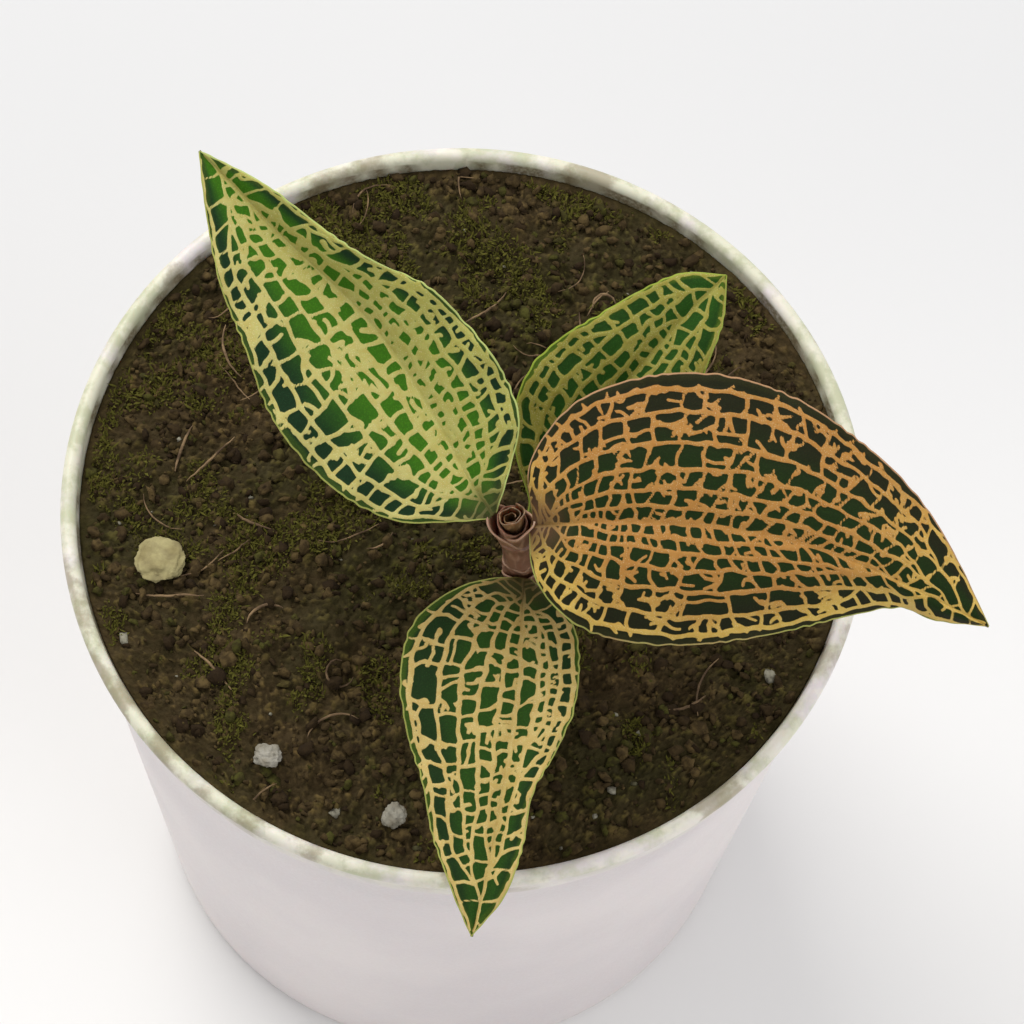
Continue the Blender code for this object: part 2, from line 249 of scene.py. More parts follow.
def new_group(name, inputs, outputs):
    group = bpy.data.node_groups.new(name, "ShaderNodeTree")
    for label, value in inputs.items():
        socket = group.interface.new_socket(label, in_out="INPUT", socket_type="NodeSocketFloat")
        socket.default_value = value
    for label in outputs:
        group.interface.new_socket(label, in_out="OUTPUT", socket_type="NodeSocketFloat")
    return group, group.nodes.new("NodeGroupInput").outputs, group.nodes.new("NodeGroupOutput").inputs


def vein_group():
    """Turns the painted depth in a vein, in millimetres, into a mask with a granular edge."""
    outputs = ("Mask", "Painted_Glint", "Relief", "Cells")
    group, given, out = new_group("vein_mask", {"Edge": 0.04, "Ragged": 0.07}, outputs)
    depth = painted(group, "vein")
    ragged = maths(group, "SUBTRACT", grain(group, 3600, 2.0), 0.5)
    depth = maths(group, "MULTIPLY_ADD", ragged, given["Ragged"], depth)
    low = times(group, given["Edge"], -1.0)
    mask = remap(group, depth, low, given["Edge"])
    place = object_place(group)
    beads = add(group, "TexVoronoi", {"Vector": place, "Scale": 5200.0}, feature="F1").outputs[0]
    sparkle = remap(group, beads, 0.30, 0.08)
    cells = remap(group, beads, 0.0, 0.6)
    group.links.new(mask, out["Mask"])
    # painted glint: bright specks at the centres of tiny cells, inside the veins
    group.links.new(times(group, sparkle, mask), out["Painted_Glint"])
    group.links.new(remap(group, depth, -0.25, 0.3), out["Relief"])
    group.links.new(cells, out["Cells"])
    return group


def patch_group():
    """Blotches with ragged edges, for algae and dirt: Amount is the share covered."""
    group, given, out = new_group("patches", {"Scale": 60.0, "Amount": 0.4, "Soft": 0.1}, ("Mask", "Fine"))
    place = object_place(group)
    inputs = {"Vector": place, "Scale": given["Scale"], "Detail": 8.0, "Roughness": 0.62}
    lumps = add(group, "TexNoise", inputs).outputs[0]
    limit = maths(group, "MULTIPLY_ADD", given["Amount"], -0.4, 0.7)
    low = maths(group, "SUBTRACT", limit, given["Soft"])
    high = maths(group, "ADD", limit, given["Soft"])
    group.links.new(remap(group, lumps, low, high), out["Mask"])
    fine = add(group, "TexNoise", {"Vector": place, "Scale": 2600.0, "Detail": 4.0}).outputs[0]
    group.links.new(fine, out["Fine"])
    return group


VEIN_MASK = vein_group()
PATCHES = patch_group()


def patches(tree, scale, amount, soft=0.1):
    made = add(tree, "Group", node_tree=PATCHES)
    for label, value in (("Scale", scale), ("Amount", amount), ("Soft", soft)):
        made.inputs[label].default_value = value
    return made.outputs


print("shared groups:", VEIN_MASK.name, PATCHES.name)

# %% [markdown]
# ## The shape of a leaf blade
# Each blade is lofted between three guide curves, its left margin, midrib and right margin. They are
# given in the leaf's own frame in millimetres: along the chord from base to tip, across to the left, and
# up out of the blade. A few stations are enough, because a smooth curve is drawn through them. The same
# guides shape the solids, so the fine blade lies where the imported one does.

# %% Guide curves of the four leaves
LEAVES = {
    "leaf_left": {
        "base": (2.7, -11.9, 114.2),
        "tip": (-30.6, 19.5, 129.2),
        "facing": (0.01, -0.41, 0.91),
        "left": [
            (-0.9, 0.6, 0), (1.6, 4.2, 0.6), (5, 8.2, 1.2), (10, 10.7, 1.6), (16, 11.8, 1.8),
            (22.5, 11.4, 1.8), (29, 9.2, 1.6), (35.5, 7.2, 1.2), (42, 3.9, 0.7), (48.3, 0, 0),
        ],
        "midrib": [
            (-0.9, 0, 0), (3.5, -0.4, 0), (8, -1.2, -0.2), (13, -2.0, -0.5), (18.5, -2.6, -0.8),
            (24.5, -2.6, -0.9), (30.5, -1.9, -0.8), (36.5, -1.1, -0.6), (42.5, -0.6, -0.3), (48.3, 0, 0),
        ],
        "right": [
            (-0.9, -0.6, 0), (1.7, -4.4, 0.8), (5.2, -8.5, 1.8), (10.3, -10.3, 2.8), (16.4, -10.5, 3.6),
            (22.5, -9.6, 4.0), (28.5, -6.6, 4.0), (35.5, -4.6, 3.2), (42, -2.9, 1.6), (48.3, 0, 0),
        ],
        "dome": 0.7,
        "wave": (0.5, 6.5, 0.8),
    },
    "leaf_right": {
        "base": (7.4, -13.2, 113.9),
        "tip": (56.2, -19.5, 112.2),
        "facing": (-0.02, -0.40, 0.92),
        "left": [
            (0, 0.8, 0), (-1.5, 6.5, 0.4), (1.5, 13.3, 0.2), (7.5, 17.5, -0.2), (15, 19.7, -0.6),
            (23, 19.4, -0.8), (31, 16.6, -0.8), (38.5, 12.2, -0.6), (44, 6.8, -0.4), (49.3, 0, 0),
        ],
        "midrib": [
            (0, 0, 0), (3.5, 0.9, 0.2), (8, 2.2, 0.5), (13, 3.1, 0.9), (19, 4.0, 1.2),
            (25, 4.3, 1.3), (31, 4.0, 1.2), (37, 3.0, 0.9), (43, 1.6, 0.4), (49.3, 0, 0),
        ],
        "right": [
            (0, -0.8, 0), (1.2, -4.6, 0.2), (4.2, -7.8, 0), (9.2, -9.7, -0.4), (17, -9.2, -1.1),
            (26, -6.3, -1.9), (34.6, -2.2, -2.6), (39.8, -0.1, -2.6), (43.6, -0.6, -1.9), (49.3, 0, 0),
        ],
        "dome": 1.3,
        "wave": (0.5, 8.0, 0.2),
    },
    "leaf_front": {
        "base": (7.3, -13.4, 100.0),
        "tip": (4.9, -53.6, 97.5),
        "facing": (0.02, -0.06, 1.0),
        "left": [
            (0, 0.7, 0), (1.8, 3.2, 0.4), (4.8, 5.9, 1.2), (9.8, 7.2, 2.3), (15.2, 7.2, 3.0),
            (20, 5.9, 3.2), (24.8, 4.2, 3.0), (30.2, 4.0, 2.4), (35.6, 2.9, 1.4), (40.3, 0, 0),
        ],
        "midrib": [
            (0, 0, 0), (4.0, 0.3, 0.4), (8.2, 0.7, 0.9), (12.8, 1.1, 1.3), (17.2, 1.2, 1.4),
            (21.8, 1.2, 1.4), (26.6, 1.1, 1.2), (31.2, 0.9, 0.9), (36, 0.5, 0.5), (40.3, 0, 0),
        ],
        "right": [
            (0, -0.7, 0), (0.8, -3.8, 0.3), (3.4, -8.2, 1.0), (8.0, -11.3, 1.5), (13.8, -11.6, 1.8),
            (19.4, -10.1, 1.8), (24.6, -7.7, 1.6), (30.2, -5.7, 1.2), (35.8, -2.8, 0.7), (40.3, 0, 0),
        ],
        "dome": 0.8,
        "wave": (0.35, 5.5, 0.5),
    },
    "leaf_back": {
        "base": (6.2, -10.2, 104.2),
        "tip": (25.9, 16.3, 116.9),
        "facing": (-0.04, -0.44, 0.90),
        "left": [
            (1.1, 0.8, 0), (3.4, 1.3, 0.2), (6.4, 5.4, 0.8), (10.6, 8.9, 1.4), (15.2, 10.2, 1.7),
            (19.5, 9.6, 1.7), (23.6, 8.1, 1.5), (28.3, 6.3, 1.1), (32.8, 3.9, 0.6), (35.7, 0, 0),
        ],
        "midrib": [
            (1.1, 0, 0), (3.8, 0.1, 0), (7.4, 0.5, -0.1), (11.4, 0.8, -0.3), (15.4, 1.0, -0.4),
            (19.6, 1.1, -0.4), (23.8, 1.0, -0.3), (28, 0.8, -0.2), (32, 0.4, 0), (35.7, 0, 0),
        ],
        "right": [
            (1.1, -0.8, 0), (3.4, -1.3, 0.2), (6.2, -4.6, 0.7), (9.6, -6.4, 1.1), (13.6, -7.2, 1.4),
            (17.8, -7.0, 1.5), (22.2, -6.0, 1.4), (27, -4.4, 1.0), (31.6, -2.8, 0.5), (35.7, 0, 0),
        ],
        "dome": 0.6,
        "wave": (0.3, 5.0, 0.0),
    },
}
CRINKLE = 0.10  # how far the margin's small scallops stand in and out, in millimetres
CRINKLE_PITCH = 1.9  # their mean spacing


def along_curve(points, t):
    """Points on a smooth curve through evenly counted stations, for an array t from 0 to 1."""
    points = np.array(points, float)
    last = len(points) - 1
    at = np.clip(t, 0, 1) * last
    i = np.minimum(at.astype(int), last - 1)
    u = (at - i)[:, None]
    run = np.vstack([2 * points[0] - points[1], points, 2 * points[-1] - points[-2]])
    p0, p1, p2, p3 = (run[i + k] for k in range(4))
    return 0.5 * (
        2 * p1 + (p2 - p0) * u + (2 * p0 - 5 * p1 + 4 * p2 - p3) * u**2 + (3 * p1 - p0 - 3 * p2 + p3) * u**3
    )


def blade_points(leaf, t, w):
    """Points of the smooth blade in the leaf's frame, in millimetres: w runs from -1, right, to 1, left."""
    middle = along_curve(leaf["midrib"], t)
    at_left = (w > 0)[:, None]
    margin = np.where(at_left, along_curve(leaf["left"], t), along_curve(leaf["right"], t))
    share = np.abs(w)
    point = middle + (margin - middle) * share[:, None]
    body = np.sin(np.pi * np.clip(t, 0, 1)) ** 0.5
    height, count, phase = leaf["wave"]
    turn = 2 * np.pi * (count * t + phase) + np.where(w > 0, 1.3, 0)
    point[:, 2] += leaf["dome"] * np.sin(np.pi * share**0.8) * body + height * share**3 * body * np.sin(turn)
    scallop = np.sin(2 * np.pi * point[:, 0] / CRINKLE_PITCH + 2.0 * np.sin(point[:, 0] * 0.6))
    scallop = scallop * (0.5 + 0.5 * np.sin(point[:, 0] * 0.83 + 1.0))
    point[:, 1] += CRINKLE * scallop * share**12 * body * np.sign(w)
    return point


def leaf_frame(leaf):
    """The matrix from the leaf's own frame in millimetres to the scene in metres."""
    base, tip, facing = Vector(leaf["base"]), Vector(leaf["tip"]), Vector(leaf["facing"])
    along = (tip - base).normalized()
    across = facing.cross(along).normalized()
    turn = Matrix((along, across, along.cross(across))).transposed().to_4x4()
    return np.array(Matrix.Scale(MM, 4) @ Matrix.Translation(base) @ turn)


for leaf_name, leaf in LEAVES.items():
    print(leaf_name, "chord, mm:", round((Vector(leaf["tip"]) - Vector(leaf["base"])).length, 1))

# %% [markdown]
# ## Growing the net of veins
# On the real leaf, long veins run from base to tip like lines of longitude. Cross veins step between them
# like rungs, and in the larger cells thin veinlets grow in from the walls and end free. Outside the last
# long vein a comb of short stubs points to the margin. The net is grown here in the same order, with a
# seeded random generator, as a list of short segments, each with a half width. A texture of cells would
# look random, while the real net is ordered at the margin and dense along the midrib.

# %% Grow the veins of one leaf
# long: the long veins' shares of the way to the margin. square: the cross veins' spacing, for the gap
# that they cross. width: half widths in millimetres of long veins, cross veins and veinlets. inner: how
# much thinner the veins by the midrib are. lean: how far cross veins lean to the tip. twigs: how many
# veinlets end free in a cell. seed: the random seed.
NETS = {
    "leaf_left": {
        "long": (0.0, 0.16, 0.34, 0.54, 0.77, 0.92), "width": (0.22, 0.20, 0.19),
        "square": 0.95, "inner": -0.45, "lean": 0.45, "twigs": 1.9, "seed": 5,
    },
    "leaf_right": {
        "long": (0.0, 0.11, 0.23, 0.37, 0.54, 0.75, 0.905), "width": (0.25, 0.22, 0.19),
        "square": 0.95, "inner": 0.12, "lean": 0.50, "twigs": 2.3, "seed": 11,
    },
    "leaf_front": {
        "long": (0.0, 0.15, 0.31, 0.48, 0.68, 0.90), "width": (0.22, 0.20, 0.18),
        "square": 1.0, "inner": -0.10, "lean": 0.60, "twigs": 1.5, "seed": 23,
    },
    "leaf_back": {
        "long": (0.0, 0.18, 0.38, 0.60, 0.79, 0.92), "width": (0.27, 0.25, 0.20),
        "square": 1.1, "inner": 0.0, "lean": 0.35, "twigs": 0.8, "seed": 31,
    },
}
KINK = 0.36  # how far the net is shoved about, in millimetres
KINK_PITCH = 1.8  # how far apart these shoves turn, in millimetres
FILLET = 24.0  # how sharply veins meet, per millimetre: less gives rounder corners
REACH = 1.2  # how far from a vein its depth is worked out, in millimetres
APART = 0.95  # long veins that come closer than this, in millimetres, join into one
BEND = 0.07  # the share of the leaf's length over which a long vein bends into the next
CROSS_PITCH = (1.0, 2.6)  # the closest and the widest spacing of cross veins, in millimetres
STUB_PITCH = 1.5
STUB_LENGTH = 1.0
LONG_STEPS = 90  # points on a long vein
LAST = 0.985  # the share of the leaf's length at which the net ends
SMALL_GAP = 0.6  # long veins that run closer than this, in millimetres, get no cross veins
SMALL_CELL = 1.0  # a cell that is narrower than this, in millimetres, stays empty
WIDE_CELL = 2.6  # a cell that is wider than this may be split lengthwise
SPLIT_CHANCE = 0.55
LONGEST_TWIG = 1.7
FORK_LENGTH = 1.1  # a twig that is longer than this, in millimetres, may fork
FORK_CHANCE = 0.6


def kinks(points):
    """A small shove of each point that makes straight veins crooked, as they are where others join them."""
    shoves = []
    for x, y in points:
        shove = noise.noise_vector(Vector((x / KINK_PITCH, y / KINK_PITCH, 1.5)))
        shoves.append((shove.x, shove.y))
    return KINK * np.array(shoves)


class Net:
    """Collects veins as runs of points with half widths, in the flat leaf in millimetres."""

    def __init__(self, leaf):
        self.leaf = leaf
        self.length = leaf["midrib"][-1][0]
        self.veins = []
        self.steps = np.linspace(0, 1, 60)
        span = self.flat(self.steps, self.steps * 0 + 1) - self.flat(self.steps, self.steps * 0 - 1)
        self.span = np.linalg.norm(span, axis=1)

    def flat(self, t, w):
        return blade_points(self.leaf, np.atleast_1d(t).astype(float), np.atleast_1d(w).astype(float))[:, :2]

    def on(self, line, t):
        """The point at t on a long vein."""
        return self.flat(t, np.interp(t, line["t"], line["w"]))[0]

    def fullness(self, t):
        """The leaf's width at t as a share of its greatest."""
        return np.interp(t, self.steps, self.span / self.span.max())

    def line(self, points, width_from, width_to):
        self.veins.append((np.asarray(points), np.linspace(width_from, width_to, len(points))))

    def depth(self, points):
        """How far inside the veins each point lies, in millimetres, with rounded corners where they meet."""
        points = points + kinks(points)
        total = np.full(len(points), math.exp(-FILLET * REACH))
        for run, widths in self.veins:
            low, high = run.min(axis=0) - REACH, run.max(axis=0) + REACH
            near = np.nonzero(((points > low) & (points < high)).all(axis=1))[0]
            best = np.full(len(near), -REACH)
            for start, end, w0, w1 in zip(run[:-1], run[1:], widths[:-1], widths[1:]):
                line = end - start
                from_start = points[near] - start
                share = np.clip(from_start @ line / max(line @ line, 1e-9), 0, 1)
                away = np.linalg.norm(from_start - share[:, None] * line, axis=1)
                best = np.maximum(best, w0 + (w1 - w0) * share - away)
            total[near] += np.exp(FILLET * best)
        return np.log(total) / FILLET


def wander(rng, count, size):
    """A smooth random line of the given height, for veins that don't run straight."""
    knots = rng.normal(0, size, 12)
    return np.interp(np.linspace(0, 11, count), np.arange(12), knots)


def spans(net, side, shares):
    """Where each long vein starts and stops, and which one it joins there when they get crowded."""
    t = np.linspace(0, 1, 101)
    at = [net.flat(t, side * share + 0 * t) for share in shares]
    found = [[[0.0, share], [LAST, share]] for share in shares]
    for end, steps in ((0, range(50, 0, -1)), (1, range(50, 99))):
        alive = list(range(len(shares)))
        for i in steps:
            gaps = [np.linalg.norm(at[b][i] - at[a][i]) for a, b in zip(alive, alive[1:])]
            k = int(np.argmin(gaps)) + 1
            if gaps[k - 1] > APART or len(alive) < 3:
                continue
            gone = alive[k] if alive[k] != len(shares) - 1 else alive[k - 1]
            place = alive.index(gone)
            found[gone][end] = [t[i], shares[alive[place - 1]]]
            alive.remove(gone)
    return found


def long_vein(net, rng, side, share, span, width):
    """A vein along the leaf, which bends into its neighbour where it ends before the leaf does."""
    (start, first), (stop, last) = span
    t = np.linspace(start, stop, LONG_STEPS)
    w = share + wander(rng, LONG_STEPS, 0.010) * np.sin(np.pi * t)
    w = w + (first - share) * np.clip(1 - (t - start) / BEND, 0, 1) ** 2
    w = w + (last - share) * np.clip(1 - (stop - t) / BEND, 0, 1) ** 2
    w = side * np.clip(w, 0, 1)
    slim = width * (0.45 + 0.55 * net.fullness(t))
    points = net.flat(t, w)
    for i in range(0, LONG_STEPS - 1, 6):
        net.line(points[i:i + 7], slim[i], slim[min(i + 6, LONG_STEPS - 1)])
    return {"t": t, "w": w, "start": start, "stop": stop}


def neighbours(lines):
    """Which long veins run side by side, as (inner, outer, from, to)."""
    marks = sorted({line[end] for line in lines for end in ("start", "stop")})
    pairs = {}
    for start, stop in zip(marks, marks[1:]):
        alive = [k for k, line in enumerate(lines) if line["start"] <= start and line["stop"] >= stop]
        for pair in zip(alive, alive[1:]):
            runs = pairs.setdefault(pair, [])
            if runs and runs[-1][1] == start:
                runs[-1][1] = stop
            else:
                runs.append([start, stop])
    return [(a, b, start, stop) for (a, b), runs in pairs.items() for start, stop in runs]


def rungs(net, rng, inner, outer, start, stop, plan, width):
    """Cross veins between two long veins. Returns their ends, as t on the inner and outer one."""
    made = []
    t = start + 0.3 / net.length
    lean = plan["lean"] * (1 - abs(outer["w"][LONG_STEPS // 2]) ** 2)
    while t < stop - 0.01:
        gap = np.linalg.norm(net.on(outer, t) - net.on(inner, t))
        slope = rng.normal(lean, 0.18) * gap / net.length
        ends = (max(t - slope / 2, 0.0), min(t + slope / 2, LAST))
        a, b = net.on(inner, ends[0]), net.on(outer, ends[1])
        if gap > SMALL_GAP:
            middle = (a + b) / 2 + rng.normal(0, 0.07 * gap, 2)
            stout = width * (0.5 + 0.5 * net.fullness(t)) * rng.uniform(0.8, 1.15)
            net.line([a, middle, b], stout, stout * rng.uniform(0.8, 1.05))
            made.append((ends[0], ends[1], gap))
        pitch = min(max(gap * plan["square"], CROSS_PITCH[0]), CROSS_PITCH[1])
        t += pitch * rng.uniform(0.70, 1.35) / net.length
    return made


def crooked(rng, start, direction, length, steps=4, bend=0.5):
    """A short veinlet that turns a little at each step."""
    points = [start]
    angle = math.atan2(direction[1], direction[0])
    curl = rng.normal(0, bend)
    for _ in range(steps):
        angle += curl * rng.uniform(0.3, 1.3)
        points.append(points[-1] + length / steps * np.array([math.cos(angle), math.sin(angle)]))
    return points


def veinlets(net, rng, made, inner, outer, width, twigs):
    """Fills the cells between cross veins: wide cells are split, and twigs end free inside them."""
    for (a0, a1, gap), (b0, b1, _) in zip(made, made[1:]):
        corner = [net.on(line, t) for t, line in ((a0, inner), (a1, outer), (b1, outer), (b0, inner))]
        run = np.linalg.norm(corner[3] - corner[0])
        if gap > WIDE_CELL and rng.random() < SPLIT_CHANCE:
            share = rng.uniform(0.35, 0.65)
            left = corner[0] + (corner[1] - corner[0]) * share
            right = corner[3] + (corner[2] - corner[3]) * np.clip(share + rng.normal(0, 0.14), 0.2, 0.8)
            middle = (left + right) / 2 + rng.normal(0, 0.10 * run, 2)
            net.line([left, middle, right], width, width * rng.uniform(0.8, 1.1))
        if gap < SMALL_CELL or run < SMALL_CELL:
            continue
        for _ in range(rng.poisson(twigs * min(math.sqrt(gap * run) / 2.4, 1.1))):
            side = rng.integers(0, 4)
            at = rng.uniform(0.25, 0.75)
            start = corner[side] + (corner[(side + 1) % 4] - corner[side]) * at
            centre = sum(corner) / 4 + rng.normal(0, 0.2 * min(gap, run), 2)
            toward = centre - start
            length = min(np.linalg.norm(toward) * rng.uniform(0.75, 1.05), LONGEST_TWIG)
            twig = crooked(rng, start, toward, length)
            net.line(twig, width, width * 0.9)
            if length > FORK_LENGTH and rng.random() < FORK_CHANCE:
                spread = rng.choice((-1, 1)) * rng.uniform(0.8, 1.4)
                cos, sin = math.cos(spread), math.sin(spread)
                turn = np.array([[cos, -sin], [sin, cos]])
                fork = crooked(rng, twig[2], turn @ (twig[3] - twig[2]), 0.5 * length)
                net.line(fork, width * 0.95, width * 0.85)


def comb(net, rng, side, line, width):
    """Stubs that point from the last long vein to the margin."""
    t = 0.03
    while t < 0.9:
        start = net.on(line, t)
        ahead = net.flat(min(t + 0.03, 1.0), side * 1.0)[0]
        toward = (ahead - start) / max(np.linalg.norm(ahead - start), 1e-6)
        reach = STUB_LENGTH * rng.uniform(0.5, 1.2)
        net.line(crooked(rng, start, toward, reach, 3, 0.45), width, width * 0.8)
        t += STUB_PITCH * rng.uniform(0.6, 1.5) / net.length


def grow_net(leaf, plan):
    """The whole net of one leaf: long veins, then cross veins and veinlets, then the comb."""
    rng = np.random.default_rng(plan["seed"])
    net = Net(leaf)
    wide, middling, fine = plan["width"]
    for side in (-1, 1):
        shares = plan["long"]
        slims = [1 - plan["inner"] * (1 - share) for share in shares]
        lines = [
            long_vein(net, rng, side, share, span, wide * slim)
            for share, span, slim in zip(shares, spans(net, side, shares), slims)
        ]
        for a, b, start, stop in neighbours(lines):
            slim = slims[b - 1]
            made = rungs(net, rng, lines[a], lines[b], start, stop, plan, middling * slim)
            veinlets(net, rng, made, lines[a], lines[b], fine * slim, plan["twigs"])
        comb(net, rng, side, lines[-1], fine)
    return net


NET_OF = {leaf_name: grow_net(LEAVES[leaf_name], plan) for leaf_name, plan in NETS.items()}
print("veins:", {leaf_name: len(net.veins) for leaf_name, net in NET_OF.items()})

# %% [markdown]
# ## Leaf colours
# The blade between the veins is dark and velvety, because its surface is made of tiny cones that trap
# light. The veins look like metal foil. Each leaf has its own colours, which shift from the middle to the
# margin and from base to tip: the large one is bronze with copper veins that turn gold at the tip. The
# cones are far too small to model, so a rough surface with little gloss gives the velvet, and a fine bump
# gives the cones.

# %% Leaf materials
PALETTES = {
    "leaf_left": {
        "cell_middle": rgb(62, 116, 14), "cell_margin": rgb(22, 52, 24), "cell_base": rgb(60, 62, 30),
        "vein_near": rgb(168, 166, 88), "vein_far": rgb(184, 176, 106), "margin": rgb(60, 84, 24),
        "edge": rgb(176, 188, 110), "under": rgb(112, 120, 74),
    },
    "leaf_right": {
        "cell_middle": rgb(28, 48, 8), "cell_margin": rgb(32, 34, 10), "cell_base": rgb(88, 60, 42),
        "vein_near": rgb(172, 124, 62), "vein_far": rgb(200, 170, 86), "margin": rgb(44, 44, 14),
        "edge": rgb(172, 134, 98), "under": rgb(118, 84, 70),
    },
    "leaf_front": {
        "cell_middle": rgb(38, 74, 12), "cell_margin": rgb(26, 52, 14), "cell_base": rgb(72, 64, 34),
        "vein_near": rgb(176, 150, 90), "vein_far": rgb(190, 168, 102), "margin": rgb(64, 90, 16),
        "edge": rgb(150, 154, 78), "under": rgb(112, 112, 70),
    },
    "leaf_back": {
        "cell_middle": rgb(40, 84, 16), "cell_margin": rgb(34, 72, 14), "cell_base": rgb(70, 80, 34),
        "vein_near": rgb(138, 132, 54), "vein_far": rgb(150, 146, 66), "margin": rgb(86, 110, 24),
        "edge": rgb(140, 158, 56), "under": rgb(102, 112, 62),
    },
}


def leaf_top(name, colours):
    material, tree, shader = new_material(name + "_top")
    veins = add(tree, "Group", node_tree=VEIN_MASK).outputs
    across, edge = painted(tree, "across"), painted(tree, "edge")
    drift = grain(tree, 160, 3.0)
    outward = maths(tree, "ADD", maths(tree, "ABSOLUTE", across), times(tree, drift, 0.3))
    cell = mix(tree, remap(tree, outward, 0.50, 0.95), colours["cell_middle"], colours["cell_margin"])
    band = remap(tree, maths(tree, "MULTIPLY_ADD", drift, 0.5, edge), 1.35, 0.75)
    cell = mix(tree, times(tree, band, 0.8), cell, colours["margin"])
    # painted shade: each tiny cone of the velvet is darkened towards its edge, where shade falls between the
    # cones
    cell = mix(tree, 0.35, cell, mix(tree, veins["Cells"], rgb(255, 255, 255), rgb(90, 90, 90)), "MULTIPLY")
    gold = maths(tree, "ADD", painted(tree, "gold"), maths(tree, "MULTIPLY_ADD", drift, 0.5, -0.25))
    vein = mix(tree, remap(tree, gold, 0.2, 0.8), colours["vein_near"], colours["vein_far"])
    vein = mix(tree, remap(tree, grain(tree, 900, 2.0), 0.35, 0.7), vein, rgb(246, 240, 226), "MULTIPLY")
    # painted glint: the veins are lightened towards near white at scattered specks
    vein = mix(tree, times(tree, veins["Painted_Glint"], 0.3), vein, rgb(255, 244, 208))
    blade = mix(tree, veins["Mask"], cell, vein)
    from_stalk = maths(tree, "MULTIPLY_ADD", drift, 2.0, painted(tree, "from_stalk"))
    blade = mix(tree, remap(tree, from_stalk, 6.5, 1.5, 0.0, 0.85), blade, colours["cell_base"])
    line = remap(tree, maths(tree, "MULTIPLY_ADD", grain(tree, 1500), 0.12, edge), 0.30, 0.18)
    rim = mix(tree, remap(tree, gold, 0.55, 0.9), colours["edge"], rgb(160, 164, 84))
    blade = mix(tree, line, blade, rim)
    velvet = bump(tree, veins["Cells"], 0.04 * MM, 0.5)
    rough = mix(tree, veins["Mask"], (0.78, 0.78, 0.78, 1), (0.46, 0.46, 0.46, 1))
    plug(tree, shader, Base_Color=blade, Roughness=rough, Normal=velvet, Specular_IOR_Level=0.16,
         Subsurface_Weight=0.06, Subsurface_Scale=0.0006)
    return material


def leaf_under(name, colours):
    """The underside is paler and duller, with the net showing through faintly."""
    material, tree, shader = new_material(name + "_under")
    veins = add(tree, "Group", node_tree=VEIN_MASK).outputs
    blotches = remap(tree, grain(tree, 220, 4.0), 0.35, 0.7)
    tone = mix(tree, blotches, colours["under"], rgb(150, 120, 96), "MULTIPLY")
    tone = mix(tree, times(tree, veins["Mask"], 0.45), tone, rgb(176, 158, 116))
    plug(tree, shader, Base_Color=tone, Roughness=0.62, Normal=bump(tree, veins["Relief"], 0.08 * MM, 0.6),
         Sheen_Weight=0.1)
    return material


# %% [markdown]
# ## Blades with their veins raised
# Now the blades themselves. Every blade is a grid a fifth of a millimetre fine, so that a vein is two or
# three faces wide and its edge stays sharp. The veins stand a little proud, and the blade domes slightly
# between them. Solidify gives the blade its thickness and its own underside.

# %% Build the four leaves
LEAF_THICKNESS = 0.5 * MM
THIN_EDGE = 1.2  # the blade gets thinner over this distance from its margin, in millimetres
VEIN_RISE = 0.16  # how far veins stand proud, in millimetres
VEIN_SHOULDER = 0.07  # over what distance they rise
CELL_SWELL = 0.10  # how far the middle of a cell domes
CELL_MIDDLE = 0.9  # how far from a vein that is
FLAT_EDGE = 0.4  # the margin's strip in which all relief fades out
FINENESS = 0.20  # the grid's spacing
TIP_END = 0.9975  # the blade stops this far along, so that its tip is a fraction of a millimetre wide
GOLD = {  # how far the veins turn from their first colour to their second
    "leaf_left": lambda t, w: 0.5 + 0.4 * w,
    "leaf_right": lambda t, w: (
        np.clip(1.8 * (t - 0.55), 0, 1) + np.clip(-w - 0.3, 0, 1) + 0.9 * (1 - t) ** 6
    ),
    "leaf_front": lambda t, w: 0.3 + 0.6 * t,
    "leaf_back": lambda t, w: 0.4 + 0.3 * t,
}


def build_leaf(name):
    leaf, net, colours = LEAVES[name], NET_OF[name], PALETTES[name]
    length = leaf["midrib"][-1][0]
    width = max(p[1] for p in leaf["left"]) - min(p[1] for p in leaf["right"])
    rows, columns = round(length / FINENESS), round(width / FINENESS)
    to_world = leaf_frame(leaf)

    def place(across, along):
        w = 1 - 2 * across
        gold = np.clip(GOLD[name](along, w), 0, 1)
        along = along * TIP_END
        points = blade_points(leaf, along, w)
        margin = blade_points(leaf, along, np.sign(w) + (w == 0))
        edge = np.linalg.norm(margin - points, axis=1)
        vein = net.depth(points[:, :2])
        from_stalk = np.linalg.norm(points[:, :2] - np.array(leaf["midrib"][0][:2]), axis=1)
        body = np.sin(np.pi * np.clip(along, 0, 1)) ** 0.4
        raised = 1 / (1 + np.exp(-vein / VEIN_SHOULDER))
        swelling = np.clip(-vein / CELL_MIDDLE, 0, 1) * CELL_SWELL
        points[:, 2] += (VEIN_RISE * raised + swelling) * body * np.clip(edge / FLAT_EDGE, 0, 1)
        numbers = {"vein": vein, "edge": edge, "across": w, "gold": gold, "from_stalk": from_stalk}
        return points @ to_world[:3, :3].T + to_world[:3, 3], numbers

    mesh = weld(grid_mesh(name + "_blade", columns, rows, place))
    materials = [leaf_top(name, colours), leaf_under(name, colours)]
    piece = add_piece(name + "_blade", mesh, materials, [name])
    if sum((face.normal.z for face in mesh.polygons), 0.0) < 0:
        mesh.flip_normals()
    thick = piece.vertex_groups.new(name="thick")
    edge = np.zeros(len(mesh.vertices), np.float32)
    mesh.attributes["edge"].data.foreach_get("value", edge)
    for index, share in enumerate(np.clip(edge / THIN_EDGE, 0.3, 1.0).tolist()):
        thick.add([index], share, "REPLACE")
    solid = thicken(piece, LEAF_THICKNESS, -1)
    solid.vertex_group = "thick"
    solid.material_offset = 1
    applied(piece)
    print(name, "points:", len(piece.data.vertices))


for leaf_name in LEAVES:
    build_leaf(leaf_name)

